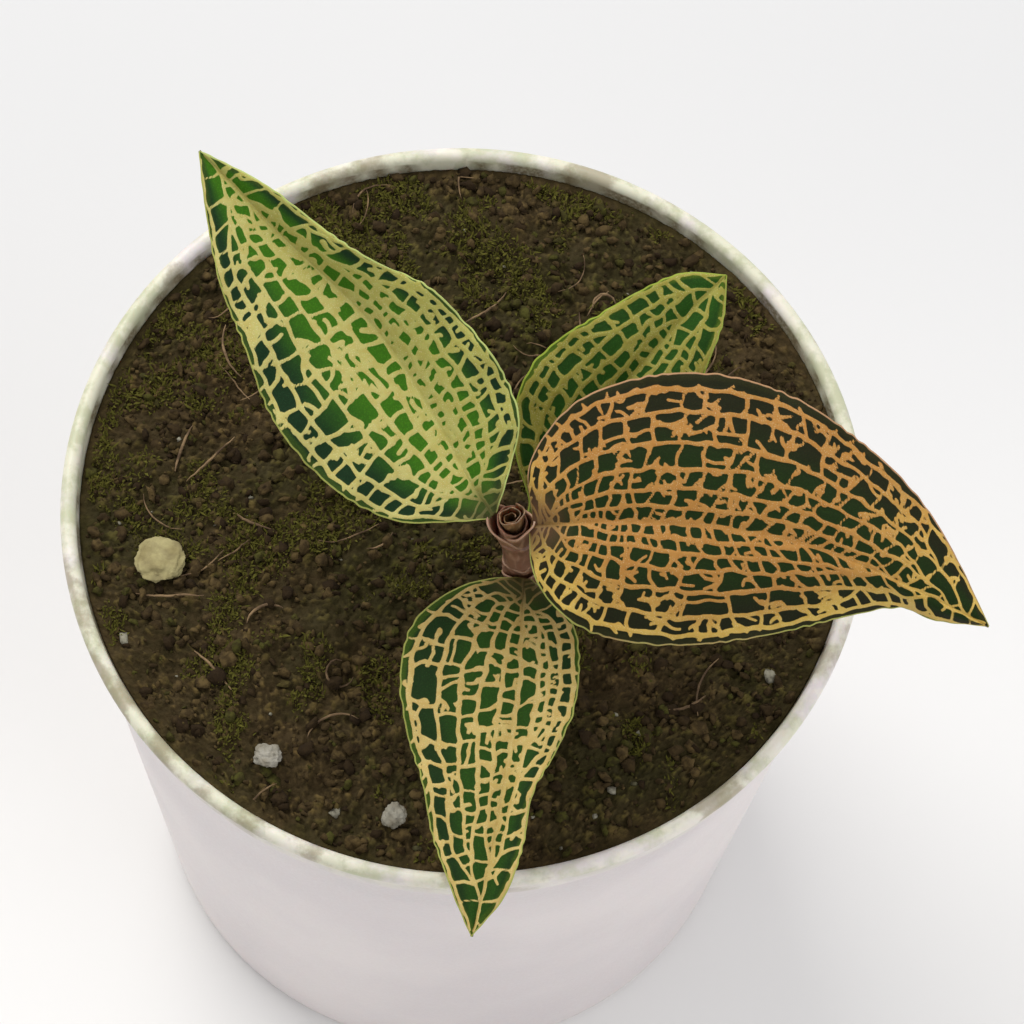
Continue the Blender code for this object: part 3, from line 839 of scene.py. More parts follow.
# %% [markdown]
# ## The pot
# The real pot is injection moulded: a thin tapered wall, a low collar that stiffens its top, and a narrow
# rounded lip. A turned profile makes all of it. Lime and algae have dried on the lip, and dirty water has
# left brownish marks, so the material mixes stains into the white by height and by a ragged noise.

# %% The pot's material
POT_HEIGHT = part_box("pot")[1][2]
RIM_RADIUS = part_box("pot")[1][0]


def height_band(tree, low, high):
    """1 above the high limit and 0 below the low one, in metres."""
    return remap(tree, add(tree, "SeparateXYZ", {0: object_place(tree)}).outputs["Z"], low, high)


def pot_plastic():
    material, tree, shader = new_material("white_pot_plastic")
    clouds = grain(tree, 28, 4.0)
    base = mix(tree, remap(tree, clouds, 0.3, 0.7), rgb(226, 218, 216), rgb(215, 207, 207))
    near_lip = height_band(tree, POT_HEIGHT - 9 * MM, POT_HEIGHT - 0.5 * MM)
    algae = patches(tree, 120.0, 0.62, 0.10)
    lime = patches(tree, 230.0, 0.5, 0.06)
    brown = patches(tree, 90.0, 0.34, 0.05)
    wet = times(tree, algae["Mask"], maths(tree, "POWER", near_lip, 2.0))
    tone = mix(tree, times(tree, wet, 0.75), base, rgb(178, 184, 138))
    for stain, share, colour in ((lime, 0.5, rgb(236, 232, 214)), (brown, 0.6, rgb(128, 112, 84))):
        tone = mix(tree, times(tree, stain["Mask"], times(tree, near_lip, share)), tone, colour)
    # the inside of the pot is painted brown by 45 to 95 per cent: real dirt, and painted shade on the inner
    # wall
    dirt_and_shade_inside = times(tree, painted(tree, "inside"), remap(tree, algae["Fine"], 0.2, 0.7, 0.45, 0.95))
    tone = mix(tree, dirt_and_shade_inside, tone, rgb(112, 98, 70))
    rough = remap(tree, algae["Fine"], 0.3, 0.7, 0.36, 0.52)
    plug(tree, shader, Base_Color=tone, Roughness=rough, Normal=bump(tree, algae["Fine"], 0.03 * MM, 0.35),
         Subsurface_Weight=0.06, Subsurface_Scale=0.002)
    return material


# %% [markdown]
# The pot is turned from the profile of the solid, with the lip drawn as a real round. Its floor has the
# same six drainage holes, so they are cut with a Boolean after the profile is turned.

# %% Turn the pot
POT_SIDES = 160
COLLAR_RADIUS = RIM_RADIUS - 0.8 * MM
COLLAR_DEPTH = 6.5 * MM
COLLAR_STEP = 0.9 * MM
BASE_RADIUS = 36.5 * MM
LIP_RADIUS = 0.9 * MM
COLLAR_TOP = 2.1 * MM  # how far under the lip's top the collar starts
COLLAR_FOOT = 1.6 * MM  # how far above the shoulder it ends
COLLAR_ROUND = 0.45 * MM
WALL = 1.2 * MM
FLOOR = 1.6 * MM
FLOOR_FILLET = 1.2 * MM
FOOT_ROUND = 1.5 * MM
AXIS_GAP = 0.0001 * MM  # the profile ends this far from the axis, and is then welded
DRAIN_RADIUS = 3.0 * MM
DRAIN_CIRCLE = 24 * MM
DRAIN_HOLES = 6


def arc(centre_r, centre_z, radius, start, stop, steps):
    """Points of a circle in the profile's plane, with angles in degrees from +r."""
    angles = np.radians(np.linspace(start, stop, steps))
    return [(centre_r + radius * math.cos(a), centre_z + radius * math.sin(a)) for a in angles]


def pot_profile():
    """The pot's profile as (radius, height), and how many of its points are on the outside."""
    lip = LIP_RADIUS
    wall_top = COLLAR_RADIUS - COLLAR_STEP
    inner_top, inner_foot = wall_top - WALL, BASE_RADIUS - WALL
    foot_in = inner_foot + (inner_top - inner_foot) * FLOOR / POT_HEIGHT
    shoulder = POT_HEIGHT - COLLAR_DEPTH
    outside = arc(RIM_RADIUS - lip, POT_HEIGHT - lip, lip, 180, -70, 12)
    outside += [(COLLAR_RADIUS, POT_HEIGHT - COLLAR_TOP)]
    outside += [(COLLAR_RADIUS - 0.05 * MM, shoulder + COLLAR_FOOT)]
    outside += arc(COLLAR_RADIUS - 0.55 * MM, shoulder + 1.1 * MM, COLLAR_ROUND, 0, -60, 4)
    outside += [(wall_top, shoulder)]
    levels = np.linspace(0.12, 0.95, 7)
    taper = BASE_RADIUS - wall_top
    outside += [(wall_top + taper * s, shoulder + (FOOT_ROUND - shoulder) * s) for s in levels]
    outside += arc(BASE_RADIUS - FOOT_ROUND, FOOT_ROUND, FOOT_ROUND, 0, -90, 7)
    inside = [(AXIS_GAP, 0.0), (AXIS_GAP, FLOOR), (foot_in - FLOOR_FILLET, FLOOR)]
    inside += [(foot_in, FLOOR + FLOOR_FILLET), (inner_top, shoulder)]
    inside += [(RIM_RADIUS - 2 * lip, POT_HEIGHT - lip)]
    return np.array(outside + inside), len(outside)


def build_pot():
    profile, outside = pot_profile()
    count = len(profile) - 1

    def place(across, along):
        at = along * count
        radius, height = (np.interp(at, np.arange(count + 1), column) for column in profile.T)
        return turned(radius, across * 2 * np.pi, height), {"inside": at > outside + 1.5}

    mesh = weld(grid_mesh("white_pot", POT_SIDES, count, place))
    pot = add_piece("white_pot", mesh, [pot_plastic()], ["pot"])
    holes = bpy.data.collections.new("drain_cutters")
    for i in range(DRAIN_HOLES):
        turn = 2 * math.pi * (i + 0.5) / DRAIN_HOLES
        drill = bmesh.new()
        at = Matrix.Translation((DRAIN_CIRCLE * math.cos(turn), DRAIN_CIRCLE * math.sin(turn), 0))
        bmesh.ops.create_cone(drill, cap_ends=True, segments=40, radius1=DRAIN_RADIUS, radius2=DRAIN_RADIUS,
                              depth=5 * FLOOR, matrix=at)
        shape = mesh_from(f"drill_{i}", drill)
        holes.objects.link(bpy.data.objects.new(f"drill_{i}", shape))
    cut = pot.modifiers.new("drains", "BOOLEAN")
    cut.operand_type = "COLLECTION"
    cut.collection = holes
    bpy.context.scene.collection.children.link(holes)
    applied(pot)
    for drill in list(holes.objects):
        bpy.data.objects.remove(drill, do_unlink=True)
    bpy.data.collections.remove(holes)
    pot.data.set_sharp_from_angle(angle=math.radians(40))
    print("white_pot faces:", len(pot.data.polygons))


build_pot()

# %% [markdown]
# ## The growing mix
# The pot is full of moist peat and fine bark. From above one sees rounded crumbs of 1 to 2 mm with dark
# gaps, and thin moss where light reaches it. The body is a disc whose surface is raised by cell noise, so
# that it looks like packed crumbs, and closed below. Loose crumbs and grit are then scattered on it as
# real meshes.

# %% The mix's surface
MIX_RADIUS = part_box("substrate")[1][0] + 0.45 * MM  # the solid stands this clear of the wall
MIX_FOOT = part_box("substrate")[0][2]
MIX_LEVEL = POT_HEIGHT - 2.0 * MM
MIX_MOUND = 1.0 * MM
MIX_RELIEF = 1.3 * MM
MIX_GRAIN = 6.5 * MM
MIX_CELLS = 270
BIG_CRUMB = 1.7
SMALL_CRUMB = 0.75


def mix_height(x, y):
    """The mix's broad shape, the same as the solid's."""
    away = min(math.hypot(x, y) / MIX_RADIUS, 1.0)
    at = Vector((x, y, 0))
    crumbs = noise.noise(at / MIX_GRAIN) + 0.5 * noise.noise(at / MIX_GRAIN * 2.1 + Vector((7, 3, 1)))
    swell = noise.noise(at / (6 * MIX_GRAIN) + Vector((2, 9, 4)))
    fade = 1 - away**6
    return MIX_LEVEL + MIX_MOUND * (1 - away**2) + (crumbs * MIX_RELIEF + swell * MIX_MOUND) * fade


def crumb_height(x, y):
    """Rounded crumbs of two sizes, with gaps between them, in metres."""
    at = Vector((x, y, 0)) / MM
    shove = noise.noise_vector(at / BIG_CRUMB) * 0.5
    big = noise.voronoi(at / BIG_CRUMB + shove)[0]
    small = noise.voronoi(at / SMALL_CRUMB + shove + Vector((5, 5, 5)))[0]
    rough = noise.fractal(at * 2.2, 0.7, 2.0, 3)
    bulge = 0.8 * (big[1] - big[0]) ** 0.7 + 0.45 * (small[1] - small[0]) ** 0.6 - 0.5
    edge = min(max((MIX_RADIUS - math.hypot(x, y)) / (2 * MM), 0.25), 1.0)
    return (bulge * 0.9 + 0.4 * rough) * edge * MM


# %% Colours of the mix


def mix_soil():
    material, tree, shader = new_material("moist_growing_mix")
    lumps, broad = grain(tree, 420, 5.0, 0.6), grain(tree, 45, 3.0)
    fine = patches(tree, 900.0, 0.5, 0.2)
    tone = mix(tree, remap(tree, lumps, 0.3, 0.68), rgb(56, 45, 20), rgb(108, 88, 48))
    tone = mix(tree, remap(tree, broad, 0.42, 0.62), tone, mix(tree, 0.5, tone, rgb(70, 64, 24)))
    tone = mix(tree, times(tree, fine["Mask"], 0.45), tone, rgb(122, 98, 62))
    green = patches(tree, 55.0, 0.5, 0.12)
    tone = mix(tree, times(tree, green["Mask"], 0.6), tone, rgb(70, 72, 24))
    # painted shade: the gaps between crumbs, where the painted crumb height is low, are darkened towards near
    # black
    hollow = painted(tree, "raised")
    tone = mix(tree, remap(tree, hollow, 0.45, -0.15, 0.0, 0.7), tone, rgb(24, 17, 9))
    rough = remap(tree, lumps, 0.3, 0.7, 0.95, 0.7)
    plug(tree, shader, Base_Color=tone, Roughness=rough, Normal=bump(tree, fine["Fine"], 0.25 * MM, 0.8),
         Specular_IOR_Level=0.15)
    return material


def build_mix():
    def place(across, along):
        u, v = 2 * across - 1, 2 * along - 1
        x = u * np.sqrt(1 - v**2 / 2) * MIX_RADIUS
        y = v * np.sqrt(1 - u**2 / 2) * MIX_RADIUS
        rise = np.array([crumb_height(a, b) for a, b in zip(x, y)])
        level = np.array([mix_height(a, b) for a, b in zip(x, y)])
        return np.stack([x, y, level + rise], axis=1), {"raised": rise / MM}

    mesh = grid_mesh("growing_mix", MIX_CELLS, MIX_CELLS, place)
    body = bmesh.new()
    body.from_mesh(mesh)
    rim = [edge for edge in body.edges if edge.is_boundary]
    narrowing = (BASE_RADIUS - WALL) / MIX_RADIUS  # the mix fills the pot's taper
    skirt = bmesh.ops.extrude_edge_only(body, edges=rim)["geom"]
    for vertex in (part for part in skirt if isinstance(part, bmesh.types.BMVert)):
        vertex.co = Vector((vertex.co.x * narrowing, vertex.co.y * narrowing, MIX_FOOT))
    bmesh.ops.contextual_create(body, geom=[edge for edge in body.edges if edge.is_boundary])
    bmesh.ops.recalc_face_normals(body, faces=body.faces)
    body.to_mesh(mesh)
    body.free()
    add_piece("growing_mix", mesh, [mix_soil()], ["substrate"])
    print("growing_mix faces:", len(mesh.polygons))


build_mix()

# %% [markdown]
# ## The stem and its crown
# The stem is a fleshy cylinder wrapped in the sheaths of its leaves. Each sheath ends in a slanting lip
# where its leaf bends away. The newest leaf is still rolled up like a paper tube in the middle of the
# crown. A tube with its radius given by a formula makes the sheaths, and a spiral sheet makes the rolled
# leaf.

# %% Stem
STEM_FOOT = Vector((7.4, -9.6, 66)) * MM
STEM_TOP = Vector((5.2, -13.0, 115.6)) * MM
STEM_BOW = 0.3 * MM
STEM_SIDES = 48
STEM_ROWS = 260
SHEATHS = ((0.30, 0.4), (0.47, 3.6), (0.66, 1.2), (0.84, 4.4))  # each lip's place on the stem, and its turn
CUP_DEPTH = 3.4 * MM
CUP_WALL = 0.22 * MM
CUP_NARROWING = 1.2 * MM
CUP_ROWS = 0.14  # the share of the grid's rows that goes into the cup
CROWN_DROP = 1.9 * MM  # how far the stem's lip lies under the crown's top
LIP_SLANT = 0.5 * MM


def stem_axis(share):
    """The stem's centre line from its buried foot, 0, to the crown, 1."""
    line = np.array(STEM_FOOT) + (np.array(STEM_TOP) - np.array(STEM_FOOT)) * (share**2)[:, None]
    line[:, 2] = STEM_FOOT.z + (STEM_TOP.z - STEM_FOOT.z) * share
    line[:, 0] += STEM_BOW * np.sin(np.pi * share)
    return line


def axis_at(height):
    """The centre line at these heights, as an offset in X and Y alone."""
    centre = stem_axis(np.clip((height - STEM_FOOT.z) / (STEM_TOP.z - STEM_FOOT.z), 0, 1))
    centre[:, 2] = 0
    return centre


def stem_radius(share, angle):
    """The radius in metres: a slow taper, and at each sheath's slanting lip a small step back in."""
    radius = 2.15 - 0.55 * share - 0.75 * np.exp(-share / 0.05)
    for at, turn in SHEATHS:
        slant = at + 0.022 * np.cos(angle - turn)
        radius = radius + 0.24 * np.exp(-(((share - slant) / 0.022) ** 2)) * (share < slant)
        radius = radius + 0.06 * np.exp(-(((share - slant) / 0.01) ** 2))
    radius = radius + 0.03 * np.sin(9 * angle + 20 * share)
    return radius * MM


def stem_flesh(name, low, high, streak):
    material, tree, shader = new_material(name)
    stretch = add(tree, "Mapping", {"Vector": object_place(tree), "Scale": (1, 1, 0.12)})
    inputs = {"Vector": stretch.outputs[0], "Scale": 2200.0, "Detail": 4.0}
    streaks = add(tree, "TexNoise", inputs).outputs[0]
    tone = mix(tree, remap(tree, grain(tree, 320, 3.0), 0.35, 0.65), low, high)
    tone = mix(tree, remap(tree, streaks, 0.5, 0.72, 0.0, 0.6), tone, streak)
    plug(tree, shader, Base_Color=tone, Roughness=0.42, Normal=bump(tree, streaks, 0.06 * MM, 0.6),
         Subsurface_Weight=0.15, Subsurface_Scale=0.001, Subsurface_Radius=(1.0, 0.35, 0.2))
    return material


STEM_MATERIAL = stem_flesh("stem_flesh", rgb(112, 76, 56), rgb(146, 106, 84), rgb(178, 142, 116))


def build_stem():
    length = STEM_TOP.z - STEM_FOOT.z
    cup = CUP_DEPTH / length
    crown = 1 - CROWN_DROP / length

    def place(across, along):
        angle = across * 2 * np.pi
        within = along > 1 - CUP_ROWS
        down = (along - (1 - CUP_ROWS)) / CUP_ROWS
        share = np.where(within, 1 - cup * down, along / (1 - CUP_ROWS)) * crown
        radius = stem_radius(np.clip(share, 0, 1), angle)
        hollow = np.clip(down, 0, 1)
        cupped = radius - CUP_WALL * np.minimum(1, hollow * 12) - CUP_NARROWING * hollow**3
        radius = np.maximum(np.where(within, cupped, radius), 0)
        radius = np.where((along < 1e-6) | (along > 1 - 1e-6), 0, radius)
        lip = LIP_SLANT * np.cos(angle - 2.4) * np.exp(-(((share - crown) / 0.03) ** 2))
        return stem_axis(np.clip(share, 0, 1)) + turned(radius, angle, lip), {}

    mesh = weld(grid_mesh("orchid_stem", STEM_SIDES, STEM_ROWS, place))
    add_piece("orchid_stem", mesh, [STEM_MATERIAL], ["stem"])
    print("orchid_stem faces:", len(mesh.polygons))


build_stem()

# %% [markdown]
# Each leaf's foot is a sheath that clasps the stem. On the leaf's side it flares and runs up into the
# petiole, and across from it its thin pale lip dips low. The sheath of the left leaf lies outside that of
# the right one, and together they make the funnel from which the newest leaf rises.

# %% Sheaths at the leaves' feet
# toward: the angle at which the leaf leaves, in radians. foot, low and high: the heights of the sheath's
# foot, and of its lip across from the leaf and at it. snug and reach: the radius there, in millimetres.
CLASPS = {
    "left": {"toward": 2.95, "foot": 101.0, "low": 108.6, "high": 114.0, "snug": 1.62, "reach": 2.75},
    "right": {"toward": -0.18, "foot": 103.0, "low": 110.8, "high": 114.4, "snug": 1.62, "reach": 2.35},
    "front": {"toward": -1.35, "foot": 92.0, "low": 96.0, "high": 99.8, "snug": 1.95, "reach": 2.45},
    "back": {"toward": 1.15, "foot": 97.0, "low": 100.8, "high": 105.0, "snug": 1.80, "reach": 2.45},
}
SHEATH_SIDES = 72
SHEATH_ROWS = 40
SHEATH_THICKNESS = 0.2 * MM


def clasp_flesh():
    """The stem's flesh, with a paler lip."""
    material = stem_flesh("sheath_flesh", rgb(104, 70, 48), rgb(142, 102, 78), rgb(172, 136, 108))
    tree = material.node_tree
    shader = next(node for node in tree.nodes if node.type == "BSDF_PRINCIPLED")
    body = shader.inputs["Base Color"].links[0].from_socket
    lip = remap(tree, painted(tree, "lip"), 0.86, 1.0)
    tone = mix(tree, times(tree, lip, 0.7), body, rgb(184, 148, 120))
    tree.links.new(tone, shader.inputs["Base Color"])
    return material


def build_clasp(name, shape, material):
    def place(across, along):
        angle = across * 2 * np.pi
        facing = (1 + np.cos(angle - shape["toward"])) / 2
        wave = 0.25 * np.sin(3 * angle + 1.0) + 0.12 * np.sin(7 * angle)
        top = shape["low"] + (shape["high"] - shape["low"]) * facing**1.7 + wave * (1 - facing)
        height = (shape["foot"] + (top - shape["foot"]) * along) * MM
        radius = shape["snug"] + (shape["reach"] - shape["snug"]) * facing**3 * along**2
        radius = radius + 0.10 * np.sin(5 * angle + 2 * along) * along + 0.10 * along**6
        return axis_at(height) + turned(radius * MM, angle, height), {"lip": along}

    mesh = weld(grid_mesh(name + "_leaf_sheath", SHEATH_SIDES, SHEATH_ROWS, place))
    piece = add_piece(name + "_leaf_sheath", mesh, [material])
    thicken(piece, SHEATH_THICKNESS, 1)
    applied(piece)


CLASP_MATERIAL = clasp_flesh()
for clasp_name, clasp in CLASPS.items():
    build_clasp(clasp_name, clasp, CLASP_MATERIAL)
print("sheaths:", ", ".join(CLASPS))

# %% [markdown]
# The rolled leaf is a spiral sheet: its radius grows with each turn, and its upper edge slants, as the
# edge of a rolled triangle does. Solidify then makes the sheet a blade.

# %% Rolled young leaf
ROLL_TURNS = 2.2
ROLL_INNER = 0.40
ROLL_OUTER = 1.38
ROLL_FOOT = 4.4 * MM  # how far under the stem's top it starts
ROLL_SIDES = 120
ROLL_ROWS = 26
ROLL_THICKNESS = 0.14 * MM


def build_rolled_leaf():
    def place(across, along):
        angle = across * ROLL_TURNS * 2 * np.pi
        radius = (ROLL_INNER + (ROLL_OUTER - ROLL_INNER) * across**0.8) * (0.62 + 0.38 * along**0.7) * MM
        radius = radius * (1 + (0.10 * np.sin(2 * angle + 0.6) + 0.05 * np.sin(5 * angle)) * along)
        height = STEM_TOP.z - ROLL_FOOT + along * (3.6 + 1.2 * across + 0.35 * np.sin(angle + 2.0)) * MM
        return axis_at(height) + turned(radius, angle, height), {}

    mesh = grid_mesh("rolled_young_leaf", ROLL_SIDES, ROLL_ROWS, place)
    material = stem_flesh("young_leaf", rgb(70, 48, 22), rgb(108, 80, 48), rgb(160, 126, 88))
    roll = add_piece("rolled_young_leaf", mesh, [material], ["rolled_leaf"])
    thicken(roll, ROLL_THICKNESS, 0)
    applied(roll)


build_rolled_leaf()

# %% [markdown]
# ## Grit, chip and crumbs
# A pale chip and two white grains lie on the mix, and smaller crumbs and grit lie between them. Each is a
# small sphere pushed in and out by noise. The many small ones share one mesh, because thousands of
# objects would be slow, and a number painted on each lets one material give them different browns.

# %% Stones and crumbs


STONE_LUMPS = 1.5


def rough_stone(detail, size, seed, roughness):
    """A rounded stone of the given half sizes around the origin."""
    stone = bmesh.new()
    bmesh.ops.create_icosphere(stone, subdivisions=detail, radius=1.0)
    shift = Vector((seed * 3.1, seed * 1.7, seed * 0.9))
    for vertex in stone.verts:
        at = vertex.co.copy()
        swell = 1 + roughness * noise.fractal(at * STONE_LUMPS + shift, 0.9, 2.1, 4)
        vertex.co = Vector([value * swell * half for value, half in zip(at, size)])
    return stone


LOOSE = {  # slot, light and dark colour, seed, roughness
    "pale_chip": ("chip", rgb(170, 160, 112), rgb(136, 124, 80), 3.0, 0.22),
    "perlite_1": ("perlite", rgb(168, 164, 152), rgb(120, 114, 98), 11.0, 0.34),
    "perlite_2": ("perlite", rgb(158, 154, 140), rgb(112, 106, 90), 17.0, 0.34),
}
SUNK = 0.3 * MM  # how deep a stone lies in the mix


def dry_stone(name, light, dark):
    material, tree, shader = new_material(name)
    pores = patches(tree, 700.0, 0.4, 0.15)
    tone = mix(tree, remap(tree, grain(tree, 420, 4.0), 0.3, 0.7), light, dark)
    tone = mix(tree, times(tree, pores["Mask"], 0.4), tone, rgb(104, 92, 66))
    plug(tree, shader, Base_Color=tone, Roughness=0.85, Normal=bump(tree, pores["Fine"], 0.12 * MM, 0.7))
    return material


for node_name, (slot_name, light, dark, seed, roughness) in LOOSE.items():
    low, high = (Vector(corner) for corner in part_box(node_name))
    stone = rough_stone(5, (high - low) / 2, seed, roughness)
    for vertex in stone.verts:
        vertex.co += (low + high) / 2 - Vector((0, 0, SUNK))
    mesh = mesh_from(node_name + "_stone", stone)
    mesh.shade_smooth()
    add_piece(node_name + "_stone", mesh, [dry_stone(node_name, light, dark)], [node_name])


def crumb_material():
    material, tree, shader = new_material("loose_crumbs")
    tint = painted(tree, "tint")
    tone = mix(tree, remap(tree, tint, 0.0, 0.75), rgb(46, 34, 18), rgb(90, 74, 44))
    tone = mix(tree, remap(tree, tint, 0.80, 0.86), tone, rgb(72, 70, 28))
    tone = mix(tree, remap(tree, tint, 0.985, 0.99), tone, rgb(150, 146, 128))
    tone = mix(tree, remap(tree, grain(tree, 1300, 5.0), 0.35, 0.65, 0.0, 0.7), tone, rgb(36, 26, 14))
    fine = patches(tree, 900.0, 0.5, 0.2)
    plug(tree, shader, Base_Color=tone, Roughness=0.9, Normal=bump(tree, fine["Fine"], 0.2 * MM, 0.8),
         Specular_IOR_Level=0.15)
    return material


CRUMBS = 4600
CRUMB_KINDS = 14


def spot_on_mix(rng, share):
    """A random place on the mix, within this share of its radius."""
    away, turn = MIX_RADIUS * share * math.sqrt(rng.random()), rng.random() * 2 * math.pi
    return away * math.cos(turn), away * math.sin(turn)


def tinted_mesh(name, points, faces, tints):
    """One mesh of many small pieces, with a number on each point that sets its tint."""
    mesh = bpy.data.meshes.new(name)
    mesh.from_pydata(np.array(points).tolist(), [], np.array(faces).tolist())
    paint_points(mesh, {"tint": tints})
    return mesh


def build_crumbs():
    """Each crumb is one of a few stones, turned and scaled, and set part way into the mix."""
    rng = np.random.default_rng(77)
    kinds = []
    for k in range(CRUMB_KINDS):
        stone = rough_stone(1 + (k % 3 == 0), (1, 1, 1), 20 + k, 0.75)
        points = np.array([vertex.co[:] for vertex in stone.verts])
        faces = np.array([[vertex.index for vertex in face.verts] for face in stone.faces])
        stone.free()
        kinds.append((points, faces))
    points, faces, tints, total = [], [], [], 0
    for _ in range(CRUMBS):
        shape, corners = kinds[rng.integers(CRUMB_KINDS)]
        x, y = spot_on_mix(rng, 0.985)
        size = (0.22 + 0.8 * rng.random() ** 2.6) * MM
        spin = np.array(Matrix.Rotation(rng.random() * 6.28, 3, Vector(rng.normal(size=3))))
        stretch = np.array([1.0, rng.uniform(0.5, 1.0), rng.uniform(0.4, 0.8)])
        at = np.array([x, y, mix_height(x, y) + crumb_height(x, y) + 0.1 * size])
        points.append((shape * stretch * size) @ spin.T + at)
        faces.append(corners + total)
        total += len(shape)
        tints.append(np.full(len(shape), rng.random()))
    mesh = tinted_mesh("loose_crumbs", np.vstack(points), np.vstack(faces), np.concatenate(tints))
    mesh.shade_smooth()
    add_piece("loose_crumbs", mesh, [crumb_material()])
    print("loose crumbs:", CRUMBS, "faces:", len(mesh.polygons))


build_crumbs()

# %% [markdown]
# ## Moss and root hairs
# A thin fur of moss has grown where the mix stays wet, most of it towards the back of the pot. One moss
# leaf is a sliver under a millimetre long, and thousands of them read as soft green fur. Pale broken
# fibres of bark lie among the crumbs. Both are built straight into one mesh each, from seeded random
# numbers.

# %% Moss fur
MOSS_LEAVES = 26000


def moss_material():
    material, tree, shader = new_material("moss_fur")
    tint = painted(tree, "tint")
    tone = mix(tree, tint, rgb(52, 52, 16), rgb(104, 100, 42))
    plug(tree, shader, Base_Color=tone, Roughness=0.9, Specular_IOR_Level=0.1)
    return material


def build_moss():
    rng = np.random.default_rng(41)
    points, faces, tints = [], [], []
    while len(faces) < 2 * MOSS_LEAVES:
        x, y = spot_on_mix(rng, 0.98)
        patch = noise.fractal(Vector((x, y, 0)) / (9 * MM) + Vector((3, 3, 3)), 0.9, 2.0, 3)
        if patch + 0.25 * (y - x) / MIX_RADIUS < 0.12 + 0.25 * rng.random():
            continue
        foot = np.array([x, y, mix_height(x, y) + crumb_height(x, y) - 0.15 * MM])
        heading = rng.normal(0, 1.1, 2)
        tall = rng.uniform(0.3, 0.75) * MM
        tip = foot + np.array([heading[0] * 0.6, heading[1] * 0.6, 1.0]) * tall
        side = np.array([-heading[1], heading[0], 0.3 * rng.normal()])
        side *= rng.uniform(0.09, 0.17) * MM / max(np.linalg.norm(side), 1e-6)
        middle = (foot + tip) / 2 + side[[1, 0, 2]] * 0.4
        start = len(points)
        points += [foot, middle - side, tip, middle + side]
        faces += [(start, start + 1, start + 2), (start, start + 2, start + 3)]
        # painted shade: each moss leaf's tint rises from its foot to its tip, so the fur is darker low down
        tints += [rng.random() * 0.6 + 0.2 * k for k in (0, 1, 2, 1)]
    mesh = tinted_mesh("moss_fur", points, faces, tints)
    add_piece("moss_fur", mesh, [moss_material()])
    print("moss leaves:", len(faces) // 2)


build_moss()

# %% Bark fibres
FIBRES = 70
FIBRE_SIDES = 5
FIBRE_ROWS = 12


def fibre_material():
    material, tree, shader = new_material("bark_fibre")
    tone = mix(tree, remap(tree, grain(tree, 500, 3.0), 0.35, 0.65), rgb(74, 54, 32), rgb(138, 112, 78))
    fine = patches(tree, 1200.0, 0.5, 0.2)
    plug(tree, shader, Base_Color=tone, Roughness=0.85, Normal=bump(tree, fine["Fine"], 0.05 * MM, 0.6))
    return material


def build_fibres():
    rng = np.random.default_rng(52)
    body = bmesh.new()
    for _ in range(FIBRES):
        at = np.array(spot_on_mix(rng, 0.9))
        heading, curl = rng.random() * 2 * math.pi, rng.normal(0, 0.16)
        thick, step = rng.uniform(0.08, 0.2) * MM, rng.uniform(0.35, 0.7) * MM
        rings = []
        for row in range(FIBRE_ROWS):
            heading += curl
            at = at + step * np.array([math.cos(heading), math.sin(heading)])
            at *= min(1.0, MIX_RADIUS * 0.97 / math.hypot(*at))
            height = mix_height(*at) + 0.45 * MM + 0.5 * crumb_height(*at)
            slim = thick * (0.25 + 0.75 * math.sin(math.pi * (row + 0.5) / FIBRE_ROWS))
            ring = []
            for k in range(FIBRE_SIDES):
                a = 2 * math.pi * k / FIBRE_SIDES
                off = slim * math.cos(a)
                ring.append(body.verts.new((at[0] - off * math.sin(heading), at[1] + off * math.cos(heading),
                                            height + slim * math.sin(a))))
            rings.append(ring)
        for lower, upper in zip(rings, rings[1:]):
            for k in range(FIBRE_SIDES):
                j = (k + 1) % FIBRE_SIDES
                body.faces.new((lower[k], lower[j], upper[j], upper[k]))
        body.faces.new(rings[0][::-1])
        body.faces.new(rings[-1])
    mesh = mesh_from("bark_fibres", body)
    mesh.shade_smooth()
    add_piece("bark_fibres", mesh, [fibre_material()])


build_fibres()

# %% [markdown]
# ## Table and light
# The pot stands on a plain pale table in soft daylight, which comes from a window behind it at the left.
# One large lamp stands for the window and a weaker one for the light that the room throws back.

# %% Floor and soft light
FLOOR_HALF = 1.2


def floor_material():
    material, tree, shader = new_material("pale_table")
    tone = mix(tree, remap(tree, grain(tree, 9, 3.0), 0.35, 0.7), rgb(236, 235, 233), rgb(232, 231, 229))
    # painted shade: the table is darkened towards the back, to even out the window light, which falls
    # brightest there
    back = remap(tree, add(tree, "SeparateXYZ", {0: object_place(tree)}).outputs["Y"], -0.06, 0.12)
    tone = mix(tree, back, tone, rgb(212, 212, 212))
    plug(tree, shader, Base_Color=tone, Roughness=0.9)
    return material


def flat_floor(across, along):
    return np.stack([across - 0.5, along - 0.5, across * 0], axis=1) * 2 * FLOOR_HALF, {}


table = bpy.data.objects.new("table", grid_mesh("table", 4, 4, flat_floor))
bpy.context.scene.collection.objects.link(table)
table.data.materials.append(floor_material())


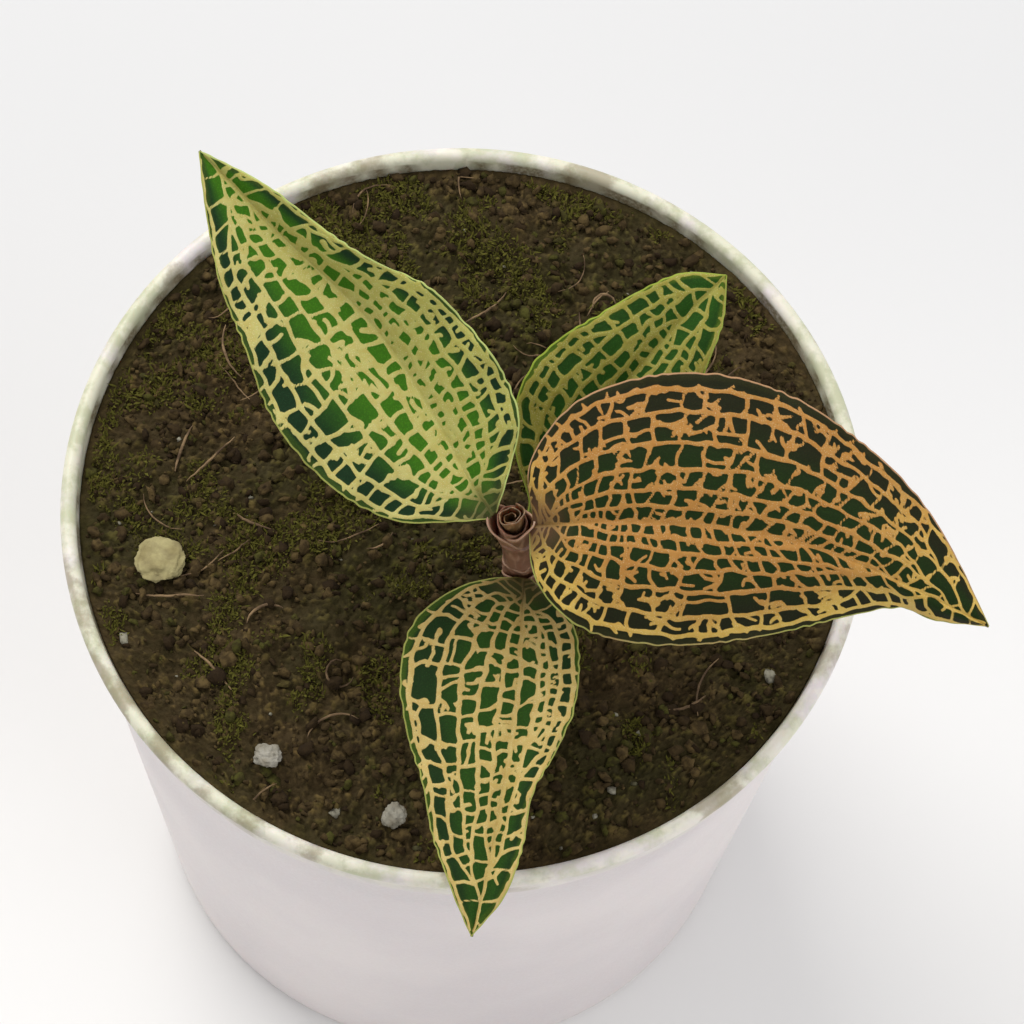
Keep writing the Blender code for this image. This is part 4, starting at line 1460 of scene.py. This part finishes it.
def area_light(name, place, aim, size, power, colour):
    lamp = bpy.data.lights.new(name, "AREA")
    lamp.energy = power
    lamp.size = size
    lamp.color = colour
    thing = bpy.data.objects.new(name, lamp)
    thing.location = place
    thing.rotation_euler = (Vector(aim) - Vector(place)).to_track_quat("-Z", "Y").to_euler()
    bpy.context.scene.collection.objects.link(thing)


AIM = (0.0, 0.0, 0.08)
area_light("window", (-0.45, 0.60, 0.85), AIM, 0.7, 8.6, (1.0, 0.99, 0.96))
area_light("fill", (0.7, -0.3, 0.7), AIM, 0.9, 3.0, (0.97, 0.98, 1.0))

bpy.context.scene.view_settings.view_transform = "Standard"
world = bpy.data.worlds.new("soft_room")
world.use_nodes = True
sky = world.node_tree.nodes["Background"]
sky.inputs["Color"].default_value = rgb(244, 244, 246)
sky.inputs["Strength"].default_value = 0.75
bpy.context.scene.world = world

# %% [markdown]
# ## The camera
# The camera is above the pot and a little in front of it, as the pot's rim and foot show: their ellipses
# give the tilt, the distance and the focal length. It is turned by a few degrees about its own axis.

# %% The camera
EYE = Vector((5.32, -200.09, 547.86)) * MM
TILT = math.radians(66.55)
ROLL = math.radians(4.94)
FOCAL = 158.2


def place_camera():
    ahead = Vector((0, math.cos(TILT), -math.sin(TILT)))
    side, above = Vector((1, 0, 0)), Vector((1, 0, 0)).cross(ahead)
    right = math.cos(ROLL) * side + math.sin(ROLL) * above
    up = -math.sin(ROLL) * side + math.cos(ROLL) * above
    lens = bpy.data.cameras.new("eye")
    lens.lens = FOCAL
    lens.sensor_width = 36.0
    lens.clip_start = 0.01
    eye = bpy.data.objects.new("eye", lens)
    turn = Matrix((right, up, -ahead)).transposed().to_4x4()
    eye.matrix_world = Matrix.Translation(EYE) @ turn
    bpy.context.scene.collection.objects.link(eye)
    bpy.context.scene.camera = eye


place_camera()
print("camera at, mm:", [round(v / MM) for v in EYE])

# %% [markdown]
# ## Measure and finish
# Last, the view layer is brought up to date.

# %% Finish
bpy.context.view_layer.update()
